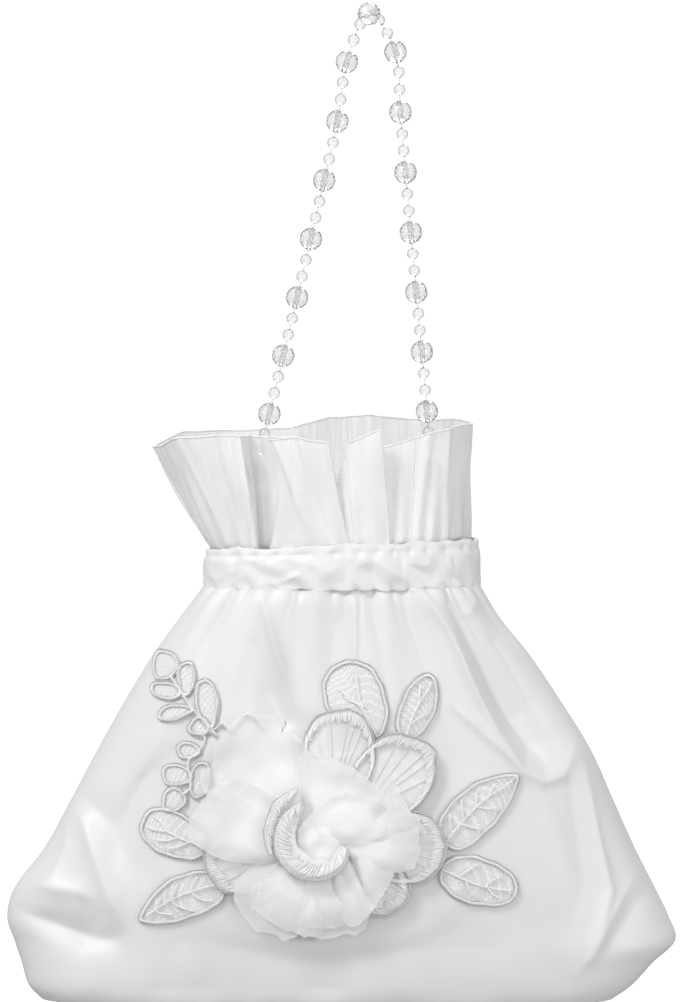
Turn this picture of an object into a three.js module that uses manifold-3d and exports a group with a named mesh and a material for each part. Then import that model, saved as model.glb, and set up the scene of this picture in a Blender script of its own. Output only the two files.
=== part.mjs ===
// A bridal handbag: a white satin pouch with a gathered neck, an organza ruffle, a handle of clear
// faceted beads and a lace rose on its front. Millimetres, +Z up, +X to the right and the front at -Y.
// The origin is where the handle is held, under the bead at its peak.
import * as THREE from "three";
import { mergeVertices } from "three/addons/utils/BufferGeometryUtils.js";
import Module from "manifold-3d";

const wasm = await Module();
wasm.setup();

// The handle
const handleDrop = 194; // from where it is held down to the line of gathers
const peakOffset = 9; // the peak stands this far right of the pouch's middle
const bigBead = 8;
const smallBead = 4;
const beadPitch = 20.9; // from one big bead to the next along the string
const bigBeadsEachSide = 8;
const threadThickness = 0.8;
const boreClearance = 0.35; // round the thread, in a bead's bore

// The pouch
const pouchHeight = 143.5; // from the base to the line of gathers
const pouchWidth = 234; // across the two side corners
const baseDepth = 56;
const belly = 15; // how much deeper the pouch is than a straight run from base to neck
const neckWidth = 96;
const neckDepth = 44;
const satinWall = 1.6;
const gatherDepth = 1.5;
const gatherReach = 30; // how far the gathers run down from the neck
const foldWidth = 9;
const foldDepth = 4;

// The casing round the neck, and the ruffle in it
const casingHeight = 13;
const casingPuff = 2.4; // how far the casing swells past the neck
const casingTilt = 4; // how much higher its top edge is at the right than at the left
const ruffleHeight = 45;
const organzaWall = 1;
const ruffleTuck = 10; // how deep the ruffle is sewn into the casing
const ruffleClear = 1; // how far above the casing the ruffle starts to spread

// The lace motif
const roseAcross = -6; // from the pouch's middle
const roseUp = 56.5; // from the base
const roseRadius = 46; // from the rose's middle to its longest petal's edge
const leafLength = 35;
const leafWidth = 17;
const laceThickness = 1.1;
const chiffonThickness = 0.9;
const petalLift = 3; // how far a petal's outer edge curls up
const coilHeight = 6;
const coilThickness = 1.4;
const coilRadius = 10; // where the coil starts
const coilGrowth = 7.5; // how much wider it is where it ends
const coilFlare = 1.2; // how much wider it opens at its top
const budClearance = 0.4; // between the bud and the coil round it
const coilAcross = -3; // from the rose's middle

// Clearances
const gap = 0.3; // between pieces that touch
const laceGap = 0.5; // under a piece that follows a faceted surface

// Shapes that are shares and not sizes
const beadShoulder = 0.24; // how far along a small bead its full thickness reaches from the middle
const baseSquareness = 3.6;
const bodySquareness = 2.5;
const squareUpTo = 0.2; // the share of the height that is squarer than the rest
const motifSpread = 1.48; // how far the leaves reach past the rose's own radius
const smoothWithin = 1.02; // the share of motifReach where the satin lies smooth
const creasedBeyond = 1.16; // and where it creases freely
const flatAtSeam = 0.125; // the share of the half width by a side seam where creases fade
const gathersAcross = 10; // from seam to seam
const casingGathers = 16; // round the neck

// Heights and places
const gatherZ = -handleDrop;
const baseZ = gatherZ - pouchHeight;
const casingTopZ = gatherZ + gap + casingHeight;
const middleX = -peakOffset;
const motifReach = motifSpread * roseRadius; // from the rose's middle to its furthest leaf's tip

// The pouch's sections. up is a share of its height, and left and right are how far each side has
// come from the neck's half width, at 0, to the side corners', at 1.
const sections = [
  { up: 0, left: 0.83, right: 0.68 },
  { up: 0.03, left: 0.89, right: 0.77 },
  { up: 0.085, left: 0.927, right: 0.88 },
  { up: 0.135, left: 0.963, right: 0.99 },
  { up: 0.19, left: 1, right: 0.96 },
  { up: 0.26, left: 0.965, right: 0.89 },
  { up: 0.36, left: 0.81, right: 0.785 },
  { up: 0.48, left: 0.673, right: 0.673 },
  { up: 0.6, left: 0.54, right: 0.56 },
  { up: 0.72, left: 0.4, right: 0.405 },
  { up: 0.83, left: 0.26, right: 0.25 },
  { up: 0.92, left: 0.125, right: 0.1 },
  { up: 1, left: 0, right: 0 },
];

// Long folds and dents of the front. across is a share of the half width there, up of the height,
// wide of foldWidth and deep of foldDepth, with a dent below 0 and a ridge above.
const folds = [
  { across: 0.61, up: 1, toAcross: 0.61, toUp: 0.82, wide: 0.5, deep: 0.4 },
  { across: 0.61, up: 0.82, toAcross: 0.69, toUp: 0.58, wide: 0.5, deep: 0.5 },
  { across: 0.72, up: 0.97, toAcross: 0.73, toUp: 0.8, wide: 0.7, deep: -0.9 },
  { across: 0.73, up: 0.8, toAcross: 0.82, toUp: 0.6, wide: 0.8, deep: -1 },
  { across: 0.96, up: 0.66, toAcross: 0.87, toUp: 0.31, wide: 0.7, deep: 0.5 },
  { across: 0.87, up: 0.31, toAcross: 0.77, toUp: 0.06, wide: 0.9, deep: 0.5 },
  { across: -0.44, up: 0.91, toAcross: -0.22, toUp: 0.74, wide: 0.5, deep: 0.45 },
  { across: -0.42, up: 0.77, toAcross: -0.29, toUp: 0.7, wide: 0.5, deep: -0.6 },
  { across: 0.12, up: 0.98, toAcross: 0.11, toUp: 0.86, wide: 0.4, deep: -0.6 },
  { across: -0.97, up: 0.47, toAcross: -0.64, toUp: 0.17, wide: 0.7, deep: 0.4 },
  { across: -0.98, up: 0.37, toAcross: -0.74, toUp: 0.15, wide: 1.1, deep: -0.7 },
  { across: 0.3, up: 0.16, toAcross: -0.3, toUp: 0.17, wide: 1.6, deep: -0.35 },
];

function signedPower(value, power) {
  return Math.sign(value) * Math.abs(value) ** power;
}

// The half width at a height, on the left where x is below 0 and otherwise on the right.
function halfWidthAt(share, x) {
  const side = x < 0 ? "left" : "right";
  const above = Math.max(1, sections.findIndex((section) => section.up >= share));
  const low = sections[above - 1];
  const high = sections[above];
  const reach = THREE.MathUtils.mapLinear(share, low.up, high.up, low[side], high[side]);
  return THREE.MathUtils.lerp(neckWidth, pouchWidth, reach) / 2;
}

function halfDepthAt(share) {
  const straight = baseDepth + (neckDepth - baseDepth) * share;
  return (straight + belly * Math.sin(Math.PI * share ** 0.7)) / 2;
}

function squarenessAt(share) {
  const low = Math.max(0, 1 - share / squareUpTo);
  return bodySquareness + (baseSquareness - bodySquareness) * low;
}

// How freely the front creases: the stiff lace holds the satin smooth under the motif.
function loosenessAt(x, share) {
  const across = x * halfWidthAt(share, x) - roseAcross;
  const away = Math.hypot(across, share * pouchHeight - roseUp) / motifReach;
  return THREE.MathUtils.smoothstep(away, smoothWithin, creasedBeyond);
}

// The small gathers below the neck, which fade downwards.
function gatherAt(across, share) {
  const below = ((1 - share) * pouchHeight) / gatherReach;
  const uneven = 0.35 * Math.sin(4.3 * across + 1) + 0.75;
  const wave = Math.cos(Math.PI * gathersAcross * across + Math.sin(5 * across));
  return gatherDepth * uneven * wave * Math.exp(-below);
}

function onPanel(across, share) {
  return new THREE.Vector2(across * halfWidthAt(share, across), share * pouchHeight);
}

function foldAt(across, share) {
  const here = onPanel(across, share);
  return folds.reduce((sum, f) => {
    const start = onPanel(f.across, f.up);
    const run = onPanel(f.toAcross, f.toUp).sub(start);
    const along = THREE.MathUtils.clamp(here.clone().sub(start).dot(run) / run.lengthSq(), 0, 1);
    const away = here.distanceTo(start.addScaledVector(run, along)) / (f.wide * foldWidth);
    return sum + f.deep * foldDepth * Math.exp(-away * away);
  }, 0);
}

// How far the satin lies out of its smooth section. across runs from -1 at the left seam to 1 at the
// right one, as evenly as the cloth does, and x is the share of the half width there.
function creaseAt(side, across, x, share) {
  const seam = Math.min(1, (1 - Math.abs(x)) / flatAtSeam);
  if (side > 0) return gatherAt(across, share) * seam;
  return (gatherAt(across, share) + foldAt(x, share)) * loosenessAt(x, share) * seam;
}

// A point of the pouch's cloth, set in from its outside. side is -1 at the front and 1 at the back.
function pouchPoint(side, across, share, inset) {
  const power = squarenessAt(share);
  const x = Math.sin((Math.PI / 2) * across);
  const width = halfWidthAt(share, x);
  const depth = halfDepthAt(share);
  const y = (1 - Math.abs(x) ** power) ** (1 / power);
  const out = new THREE.Vector2(signedPower(x, power - 1) / width, y ** (power - 1) / depth).normalize();
  const push = (share > 0 ? creaseAt(side, across, x, share) : 0) - inset;
  return new THREE.Vector3(
    middleX + x * width + out.x * push,
    side * (gap / 2 + Math.max(0, y * depth + out.y * push)),
    baseZ + share * pouchHeight,
  );
}

// A closed body from triangles of points, with its faces turned outwards.
function bodyOf(triangles) {
  const volume = triangles.reduce((sum, [a, b, c]) => sum + a.dot(b.clone().cross(c)), 0);
  const points = triangles.flatMap(([a, b, c]) => (volume < 0 ? [a, c, b] : [a, b, c]));
  return new THREE.BufferGeometry().setFromPoints(points);
}

function quad(a, b, c, d) {
  return [
    [a, b, c],
    [a, c, d],
  ];
}

// A wall between two sheets of points, each a list of rows. A round wall joins its ends.
function wallOf(outer, inner, round) {
  const rows = outer.length;
  const columns = outer[0].length;
  const spans = round ? columns : columns - 1;
  const triangles = [];
  for (let i = 0; i < spans; i++) {
    const next = (i + 1) % columns;
    for (let j = 0; j < rows - 1; j++) {
      triangles.push(...quad(outer[j][i], outer[j][next], outer[j + 1][next], outer[j + 1][i]));
      triangles.push(...quad(inner[j][i], inner[j + 1][i], inner[j + 1][next], inner[j][next]));
    }
    triangles.push(...quad(outer[0][i], inner[0][i], inner[0][next], outer[0][next]));
    const top = rows - 1;
    triangles.push(...quad(outer[top][i], outer[top][next], inner[top][next], inner[top][i]));
  }
  if (!round) {
    const last = columns - 1;
    for (let j = 0; j < rows - 1; j++) {
      triangles.push(...quad(outer[j][0], outer[j + 1][0], inner[j + 1][0], inner[j][0]));
      triangles.push(...quad(outer[j][last], inner[j][last], inner[j + 1][last], outer[j + 1][last]));
    }
  }
  return bodyOf(triangles);
}

function material(color, roughness, metalness = 0) {
  return new THREE.MeshStandardMaterial({ color, roughness, metalness });
}

const satin = material(0xf2f2f1, 0.35);
const organza = material(0xe9ebea, 0.6);
const chiffon = material(0xf1f1f0, 0.8);
const lace = material(0xe4e4e2, 0.7);
const acrylic = material(0xdfe3e6, 0.08);
const nylon = material(0xeeeeee, 0.3);

const handbag = new THREE.Group();

function add(name, geometry, finish) {
  const mesh = new THREE.Mesh(geometry, finish);
  mesh.name = name;
  handbag.add(mesh);
  return mesh;
}

// One of the two satin panels, from seam to seam and from the base up to the gathers.
function pouchPanel(side, columns) {
  const row = (up, inset) =>
    Array.from({ length: columns + 1 }, (_, i) => pouchPoint(side, (2 * i) / columns - 1, up, inset));
  const sheet = (inset) => sections.map((section) => row(section.up, inset));
  return wallOf(sheet(0), sheet(satinWall), false);
}

// The flat base panel, which lies inside the hem of the two others.
function basePanel(columns) {
  const outline = [-1, 1].flatMap((side) =>
    Array.from({ length: columns + 1 }, (_, i) => {
      const { x, y } = pouchPoint(side, side * (1 - (2 * i) / columns), 0, satinWall + 2 * gap);
      return new THREE.Vector2(x, y);
    }),
  );
  const shape = new THREE.Shape(outline);
  const plate = new THREE.ExtrudeGeometry(shape, { depth: satinWall, bevelEnabled: false });
  return plate.translate(0, 0, baseZ - gap);
}

// An oval ring round the neck, at a distance out from the neck's own size.
function neckPoint(turn, out, z) {
  const angle = 2 * Math.PI * turn;
  const x = Math.cos(angle) * (neckWidth / 2 + out);
  const y = Math.sin(angle) * (neckDepth / 2 + out);
  return new THREE.Vector3(middleX + x, y, z);
}

// The puffed casing, whose inside is smooth where the ruffle is sewn in.
function neckCasing(columns) {
  const levels = [
    { up: 0, out: 0.2, waves: 0.5 },
    { up: 0.3, out: 0.9, waves: 0.7 },
    { up: 0.7, out: 1, waves: 0.8 },
    { up: 1, out: 0.3, waves: 0.9 },
  ];
  const outer = levels.map((level) =>
    Array.from({ length: columns }, (_, i) => {
      const turn = i / columns;
      const wave = Math.cos(2 * Math.PI * casingGathers * turn + 2 * Math.sin(6 * Math.PI * turn));
      const rise = Math.cos(2 * Math.PI * turn) + 0.3 * Math.cos(10 * Math.PI * turn);
      const edge = level.up * (casingTilt / 2) * rise;
      const out = casingPuff * level.out + (gatherDepth / 2) * level.waves * wave;
      return neckPoint(turn, out, casingTopZ - casingHeight * (1 - level.up) + edge);
    }),
  );
  const inner = levels.map((level, j) =>
    Array.from({ length: columns }, (_, i) => neckPoint(i / columns, -satinWall, outer[j][i].z)),
  );
  return wallOf(outer, inner, true);
}

// The ruffle's turns from the left side along the front to the right and back again. across and
// front are its top edge's place in shares of the neck's half sizes, and rise its height in shares
// of ruffleHeight. Where across runs back to the left, one pleat lies behind the next.
const ruffleTurns = [
  { across: -1.37, front: 0, rise: 0.77 },
  { across: -1.22, front: 0.42, rise: 0.83 },
  { across: -0.95, front: 0.56, rise: 0.87 },
  { across: -0.62, front: 0.62, rise: 0.86 },
  { across: -0.3, front: 0.64, rise: 0.84 },
  { across: -0.5, front: 0.88, rise: 0.84 },
  { across: -0.3, front: 1.04, rise: 0.86 },
  { across: -0.08, front: 1.02, rise: 0.81 },
  { across: -0.06, front: 0.8, rise: 0.5 },
  { across: 0.08, front: 0.86, rise: 0.8 },
  { across: 0.29, front: 0.98, rise: 0.94 },
  { across: 0.26, front: 0.74, rise: 0.76 },
  { across: 0.52, front: 0.62, rise: 0.82 },
  { across: 0.78, front: 0.52, rise: 0.92 },
  { across: 0.94, front: 0, rise: 0.96 },
  { across: 0.8, front: -0.62, rise: 0.97 },
  { across: 0.5, front: -0.78, rise: 0.97 },
  { across: 0.2, front: -0.7, rise: 1 },
  { across: -0.1, front: -0.9, rise: 0.98 },
  { across: -0.38, front: -0.8, rise: 0.9 },
  { across: -0.75, front: -0.92, rise: 0.88 },
  { across: -1.16, front: -0.6, rise: 0.88 },
];

function organzaRuffle(columns) {
  const top = new THREE.CatmullRomCurve3(
    ruffleTurns.map(
      (t) => new THREE.Vector3((t.across * neckWidth) / 2, (-t.front * neckDepth) / 2, t.rise * ruffleHeight),
    ),
    true,
  );
  const bottomZ = casingTopZ - ruffleTuck;
  const clearZ = casingTopZ + ruffleClear;
  const spread = [0, 0, 0.45, 0.78, 1]; // of each row, from the casing's oval to the top edge's turns
  const sheet = (side) =>
    spread.map((share, row) =>
      Array.from({ length: columns }, (_, i) => {
        const turn = i / columns;
        const edge = top.getPoint(turn);
        const along = top.getTangent(turn).setZ(0).normalize();
        const half = (side * organzaWall) / 2;
        const oval = neckPoint(0.5 + turn, -satinWall - gap - organzaWall / 2 + half, row ? clearZ : bottomZ);
        const open = new THREE.Vector3(middleX + edge.x + along.y * half, edge.y - along.x * half, 0);
        open.z = clearZ + (edge.z - ruffleClear) * share;
        return row < 2 ? oval : oval.lerp(open, share).setZ(open.z);
      }),
    );
  return wallOf(sheet(1), sheet(-1), true);
}

// The handle's route, chosen by eye. across is in shares of the half neck from the peak's place,
// back of the half depth and up of handleDrop.
const handleRoute = [
  { across: -0.885, back: 0.52, up: -0.955 },
  { across: -0.86, back: 0.34, up: -0.9 },
  { across: -0.8, back: 0.28, up: -0.785 },
  { across: -0.725, back: 0.25, up: -0.705 },
  { across: -0.523, back: 0.18, up: -0.495 },
  { across: -0.327, back: 0.1, up: -0.287 },
  { across: -0.152, back: 0.03, up: -0.075 },
  { across: -0.123, back: 0.01, up: -0.007 },
  { across: -0.045, back: 0, up: 0.0255 },
  { across: 0.09, back: 0, up: 0.028 },
  { across: 0.172, back: 0, up: 0.005 },
  { across: 0.192, back: 0.01, up: -0.041 },
  { across: 0.269, back: 0.09, up: -0.257 },
  { across: 0.348, back: 0.17, up: -0.47 },
  { across: 0.427, back: 0.25, up: -0.684 },
  { across: 0.455, back: 0.28, up: -0.785 },
  { across: 0.475, back: 0.32, up: -0.89 },
  { across: 0.48, back: 0.48, up: -0.95 },
];
const route = new THREE.CatmullRomCurve3(
  handleRoute.map(
    (p) => new THREE.Vector3((p.across * neckWidth) / 2, (p.back * neckDepth) / 2, p.up * handleDrop),
  ),
  false,
  "chordal",
);
route.arcLengthDivisions = 800;
const routeLength = route.getLength();

// How far along the route its highest bead sits: where the route passes over the origin.
const peakAlong = Array.from({ length: 801 }, (_, i) => i / 800).reduce((best, u) => {
  const here = route.getPointAt(u);
  const bestPoint = route.getPointAt(best);
  return here.z > 0 && Math.abs(here.x) < Math.abs(bestPoint.x) ? u : best;
}, 0.5) * routeLength;

function alongRoute(distance) {
  return route.getPointAt(THREE.MathUtils.clamp(distance / routeLength, 0, 1));
}

// A ring of points round the route's direction from one point to the next.
function beadRing(centre, direction, radius, sides) {
  const first = new THREE.Vector3(0, 1, 0).cross(direction).normalize();
  const second = direction.clone().cross(first).normalize();
  return Array.from({ length: sides }, (_, i) => {
    const angle = (2 * Math.PI * i) / sides;
    return centre
      .clone()
      .addScaledVector(first, radius * Math.cos(angle))
      .addScaledVector(second, radius * Math.sin(angle));
  });
}

const smallStep = beadPitch / 3;
const clearRun = smallStep - smallBead / 2; // of bare thread, either side of a big bead's middle
const bigBeadPlaces = Array.from(
  { length: 2 * bigBeadsEachSide + 1 },
  (_, i) => peakAlong + (i - bigBeadsEachSide) * beadPitch,
);

// The thread with its small beads, as one body that swells at each small bead.
function handleStrand(sides) {
  const threadRadius = threadThickness / 2;
  const stations = [{ at: 0, radius: threadRadius }];
  const addStation = (at, radius) => stations.push({ at, radius });
  addStation(bigBeadPlaces[0] - clearRun, threadRadius);
  bigBeadPlaces.slice(0, -1).forEach((place) => {
    const pairMiddle = place + beadPitch / 2;
    [pairMiddle - smallStep / 2, pairMiddle + smallStep / 2].forEach((bead, n) => {
      if (n === 0) addStation(bead - smallBead / 2, threadRadius);
      addStation(bead - smallBead * beadShoulder, smallBead / 2);
      addStation(bead + smallBead * beadShoulder, smallBead / 2);
      addStation(n === 0 ? pairMiddle : bead + smallBead / 2, threadRadius);
    });
  });
  addStation(bigBeadPlaces.at(-1) + clearRun, threadRadius);
  addStation(routeLength, threadRadius);
  const ends = stations.map((s) => alongRoute(s.at));
  const rings = stations.map((s, i) => {
    const direction = ends[Math.min(i + 1, ends.length - 1)].clone().sub(ends[Math.max(i - 1, 0)]);
    return beadRing(ends[i], direction.normalize(), s.radius, sides);
  });
  const triangles = [];
  for (let i = 0; i < sides; i++) {
    const next = (i + 1) % sides;
    for (let j = 0; j < rings.length - 1; j++) {
      triangles.push(...quad(rings[j][i], rings[j][next], rings[j + 1][next], rings[j + 1][i]));
    }
    const last = rings.length - 1;
    triangles.push([ends[0], rings[0][next], rings[0][i]]);
    triangles.push([ends[last], rings[last][i], rings[last][next]]);
  }
  return bodyOf(triangles);
}

// A faceted round bead with a bore for the thread.
function drilledBead(sides) {
  const bore = threadThickness / 2 + boreClearance;
  const radius = bigBead / 2;
  const end = Math.sqrt(radius * radius - bore * bore);
  const facets = [-0.9, 0, 0.9].map((angle) => [radius * Math.cos(angle), radius * Math.sin(angle)]);
  const profile = [[bore, -end], ...facets, [bore, end], [bore, -end]];
  return new THREE.LatheGeometry(
    profile.map(([x, y]) => new THREE.Vector2(x, y)),
    sides,
  );
}

// Each big bead sits on the straight run of thread between its two small neighbours.
function addBigBeads(sides) {
  bigBeadPlaces.forEach((place, i) => {
    const start = alongRoute(place - clearRun);
    const end = alongRoute(place + clearRun);
    const direction = end.clone().sub(start).normalize();
    const bead = add(`handle_bead_${String(i + 1).padStart(2, "0")}`, drilledBead(sides), acrylic);
    bead.position.copy(start.add(end).multiplyScalar(0.5));
    bead.quaternion.setFromUnitVectors(new THREE.Vector3(0, 1, 0), direction);
  });
}

const frontPanel = add("pouch_front", pouchPanel(-1, 38), satin);
add("pouch_back", pouchPanel(1, 16), satin);
add("pouch_base", basePanel(16), satin);
add("neck_casing", neckCasing(48), satin);
add("organza_ruffle", organzaRuffle(66), organza);
add("handle_strand", handleStrand(10), nylon);
addBigBeads(10);

// The motif lies on the front panel. across and up are millimetres from the rose's middle, and
// height is the distance out from the satin.
const probe = new THREE.Raycaster();
const forward = new THREE.Vector3(0, 1, 0);
const roseX = middleX + roseAcross;
const roseZ = baseZ + roseUp;

function onSatin(across, up, height) {
  const z = THREE.MathUtils.clamp(roseZ + up, baseZ + 1, gatherZ - 1);
  const share = (z - baseZ) / pouchHeight;
  const width = halfWidthAt(share, roseAcross + across);
  const x = THREE.MathUtils.clamp((roseAcross + across) / width, -0.97, 0.97);
  probe.set(new THREE.Vector3(middleX + x * width, -2 * pouchWidth, z), forward);
  const y = probe.intersectObject(frontPanel, false)[0].point.y;
  const power = squarenessAt(share);
  const depth = halfDepthAt(share);
  const slope = -(Math.min(1, Math.abs(y) / depth) ** (power - 1)) / depth;
  const out = new THREE.Vector2(signedPower(x, power - 1) / width, slope).normalize();
  return new THREE.Vector3(roseX + across + out.x * height, y + out.y * height, roseZ + up);
}

// A flat piece of any rounded outline, laid on the satin: rings of points round its middle.
function laidPiece(outline, low, thickness) {
  const middle = outline.reduce((sum, p) => sum.add(p), new THREE.Vector2()).divideScalar(outline.length);
  const shares = [1, 0.5];
  const layer = (height) => ({
    rings: shares.map((share) =>
      outline.map((p) => {
        const q = middle.clone().lerp(p, share);
        return onSatin(q.x, q.y, height);
      }),
    ),
    hub: onSatin(middle.x, middle.y, height),
  });
  const top = layer(low + thickness);
  const under = layer(low);
  const triangles = [];
  outline.forEach((_, i) => {
    const next = (i + 1) % outline.length;
    triangles.push([top.hub, top.rings[1][i], top.rings[1][next]]);
    triangles.push([under.hub, under.rings[1][next], under.rings[1][i]]);
    triangles.push(...quad(top.rings[1][i], top.rings[0][i], top.rings[0][next], top.rings[1][next]));
    triangles.push(...quad(under.rings[1][i], under.rings[1][next], under.rings[0][next], under.rings[0][i]));
    triangles.push(...quad(top.rings[0][i], under.rings[0][i], under.rings[0][next], top.rings[0][next]));
  });
  return bodyOf(triangles);
}

// A leaf's outline from its stem to its tip. full is how blunt its ends are, and a skew below 1 puts
// its widest place nearer the tip.
function leafOutline({ across, up, length, width, turn, full, skew = 1 }, points) {
  const direction = new THREE.Vector2(1, 0).rotateAround(new THREE.Vector2(), THREE.MathUtils.degToRad(turn));
  const aside = new THREE.Vector2(-direction.y, direction.x);
  const stem = new THREE.Vector2(across * motifReach, up * motifReach);
  return Array.from({ length: points }, (_, i) => {
    const angle = (2 * Math.PI * i) / points;
    const along = length * leafLength * ((1 - Math.cos(angle)) / 2) ** skew;
    const half = ((width * leafWidth) / 2) * signedPower(Math.sin(angle), full);
    return stem.clone().addScaledVector(direction, along).addScaledVector(aside, half);
  });
}

// The six leaves. across and up place the stem in shares of motifReach, length and width are shares
// of leafLength and leafWidth, and turn is the way to the tip in degrees.
const leaves = [
  { name: "leaf_top_round", across: 0.27, up: 0.53, length: 0.83, width: 1.22, turn: 119, full: 0.8 },
  { name: "leaf_top_oval", across: 0.4, up: 0.53, length: 0.68, width: 0.74, turn: 67, full: 0.85 },
  { name: "leaf_right_upper", across: 0.6, up: 0.0, length: 1.0, width: 0.95, turn: 42, full: 1 },
  { name: "leaf_right_lower", across: 0.58, up: -0.13, length: 0.8, width: 0.96, turn: -17, full: 0.85 },
  { name: "leaf_left_upper", across: -0.59, up: -0.03, length: 0.7, width: 0.9, turn: 156, full: 0.8 },
  { name: "leaf_left_lower", across: -0.5, up: -0.19, length: 0.92, width: 0.92, turn: 205, full: 0.95 },
];
leaves.forEach((leaf) => add(leaf.name, laidPiece(leafOutline(leaf, 14), laceGap, laceThickness), lace));

function solidOf(geometry) {
  const bare = new THREE.BufferGeometry().setAttribute("position", geometry.getAttribute("position"));
  const merged = mergeVertices(bare, 1e-4);
  return new wasm.Manifold(
    new wasm.Mesh({
      numProp: 3,
      vertProperties: merged.attributes.position.array,
      triVerts: new Uint32Array(merged.index.array),
    }),
  );
}

function joined(geometries) {
  const whole = geometries.map(solidOf).reduce((sum, next) => sum.add(next));
  const made = whole.getMesh();
  return new THREE.BufferGeometry()
    .setAttribute("position", new THREE.BufferAttribute(new Float32Array(made.vertProperties), 3))
    .setIndex(new THREE.BufferAttribute(new Uint32Array(made.triVerts), 1));
}

// The two sprigs at the upper left, as rows of the same kind as the leaves. The first row is the stem
// that the others grow from.
const fernLeaflets = [
  { across: -0.52, up: 0.56, length: 0.74, width: 0.14, turn: 133, full: 0.5 },
  { across: -0.755, up: 0.8, length: 0.35, width: 0.3, turn: 118, full: 0.7 },
  { across: -0.69, up: 0.73, length: 0.33, width: 0.3, turn: 98, full: 0.7 },
  { across: -0.695, up: 0.755, length: 0.37, width: 0.3, turn: 168, full: 0.7 },
  { across: -0.61, up: 0.67, length: 0.43, width: 0.3, turn: 187, full: 0.7 },
  { across: -0.615, up: 0.645, length: 0.35, width: 0.36, turn: 68, full: 0.7 },
  { across: -0.565, up: 0.63, length: 0.26, width: 0.42, turn: 211, full: 0.7 },
];
const curlLeaflets = [
  { across: -0.72, up: 0.22, length: 1.02, width: 0.14, turn: 50.6, full: 0.5 },
  { across: -0.69, up: 0.25, length: 0.26, width: 0.45, turn: 190, full: 0.7 },
  { across: -0.59, up: 0.36, length: 0.46, width: 0.3, turn: 178, full: 0.7 },
  { across: -0.565, up: 0.41, length: 0.38, width: 0.26, turn: 158, full: 0.7 },
  { across: -0.476, up: 0.6, length: 0.34, width: 0.32, turn: 12, full: 0.7 },
];

// A sprig is cut flat from one sheet, and then laid on the satin.
function sprig(leaflets) {
  const flat = joined(
    leaflets.map((leaflet) => {
      const shape = new THREE.Shape(leafOutline(leaflet, 10));
      return new THREE.ExtrudeGeometry(shape, { depth: laceThickness, bevelEnabled: false });
    }),
  );
  const place = flat.getAttribute("position");
  for (let i = 0; i < place.count; i++) {
    place.setXYZ(i, ...onSatin(place.getX(i), place.getY(i), laceGap + place.getZ(i)).toArray());
  }
  return flat;
}
add("fern_sprig", sprig(fernLeaflets), lace);
add("curl_sprig", sprig(curlLeaflets), lace);

// The embroidered petals, cut in one piece. reach is a share of roseRadius, turn the petal's
// direction and spread how wide it opens, both in degrees.
const basePetals = [
  { turn: 81, reach: 1.02, spread: 25 },
  { turn: 45, reach: 1.07, spread: 25 },
  { turn: -2, reach: 0.9, spread: 27 },
  { turn: -37, reach: 0.74, spread: 22 },
  { turn: 255, reach: 0.72, spread: 24 },
  { turn: 190, reach: 0.9, spread: 26 },
  { turn: 140, reach: 0.8, spread: 30 },
];
const petalRoot = 0.5; // the share of roseRadius where petals part

function roseBaseOutline(points) {
  return Array.from({ length: points }, (_, i) => {
    const angle = (360 * i) / points;
    const reach = basePetals.reduce((most, petal) => {
      const off = Math.abs(THREE.MathUtils.euclideanModulo(angle - petal.turn + 180, 360) - 180);
      const lobe = Math.cos(Math.min(1, off / petal.spread) * (Math.PI / 2)) ** 0.5;
      return Math.max(most, petalRoot + (petal.reach - petalRoot) * lobe);
    }, petalRoot);
    return new THREE.Vector2(reach * roseRadius, 0).rotateAround(
      new THREE.Vector2(),
      THREE.MathUtils.degToRad(angle),
    );
  });
}
const baseLow = 2 * laceGap + laceThickness;
add("rose_base", laidPiece(roseBaseOutline(48), baseLow, laceThickness), lace);

// Petals are long ovals that run out from the rose's middle. reach and width are shares of
// roseRadius, and start is where the petal begins.
function petalRow({ start, reach, width, turn }) {
  return {
    across: (start * roseRadius * Math.cos(THREE.MathUtils.degToRad(turn))) / motifReach,
    up: (start * roseRadius * Math.sin(THREE.MathUtils.degToRad(turn))) / motifReach,
    length: ((reach - start) * roseRadius) / leafLength,
    width: (width * roseRadius) / leafWidth,
    turn,
    full: 0.75,
    skew: 0.7,
  };
}

// The loose chiffon petals. Each lies one layer above its neighbours or below them, and all curl up
// alike towards their edges, so they stay apart.
const chiffonPetals = [
  { start: 0.18, reach: 1.1, width: 0.78, turn: 128, layer: 0 },
  { start: 0.18, reach: 1.02, width: 0.66, turn: 166, layer: 1 },
  { start: 0.18, reach: 0.84, width: 0.72, turn: 222, layer: 0 },
  { start: 0.18, reach: 0.78, width: 0.66, turn: 276, layer: 1 },
  { start: 0.18, reach: 0.78, width: 0.68, turn: 324, layer: 0 },
  { start: 0.18, reach: 0.9, width: 0.74, turn: 6, layer: 1 },
  { start: 0.18, reach: 0.72, width: 0.84, turn: 52, layer: 2 },
];
const layerStep = chiffonThickness + laceGap;
const chiffonLow = baseLow + laceThickness + laceGap;

function chiffonPetal(petal) {
  const outline = leafOutline(petalRow(petal), 14);
  const low = chiffonLow + petal.layer * layerStep;
  const flat = laidPiece(outline, 0, chiffonThickness);
  const place = flat.getAttribute("position");
  for (let i = 0; i < place.count; i++) {
    const away = Math.hypot(place.getX(i) - roseX, place.getZ(i) - roseZ) / roseRadius;
    place.setY(i, place.getY(i) - low - petalLift * away * away);
  }
  return flat;
}
chiffonPetals.forEach((petal, i) => add(`chiffon_petal_${i + 1}`, chiffonPetal(petal), chiffon));

// The coiled strip that stands in the rose's middle, and the bud in it.
const coilLow = chiffonLow + 3 * layerStep;
const coilTurns = 1.35;
const coilStart = -0.1; // in turns from the right, counted the way the coil widens
const coilSteps = 30;

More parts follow.
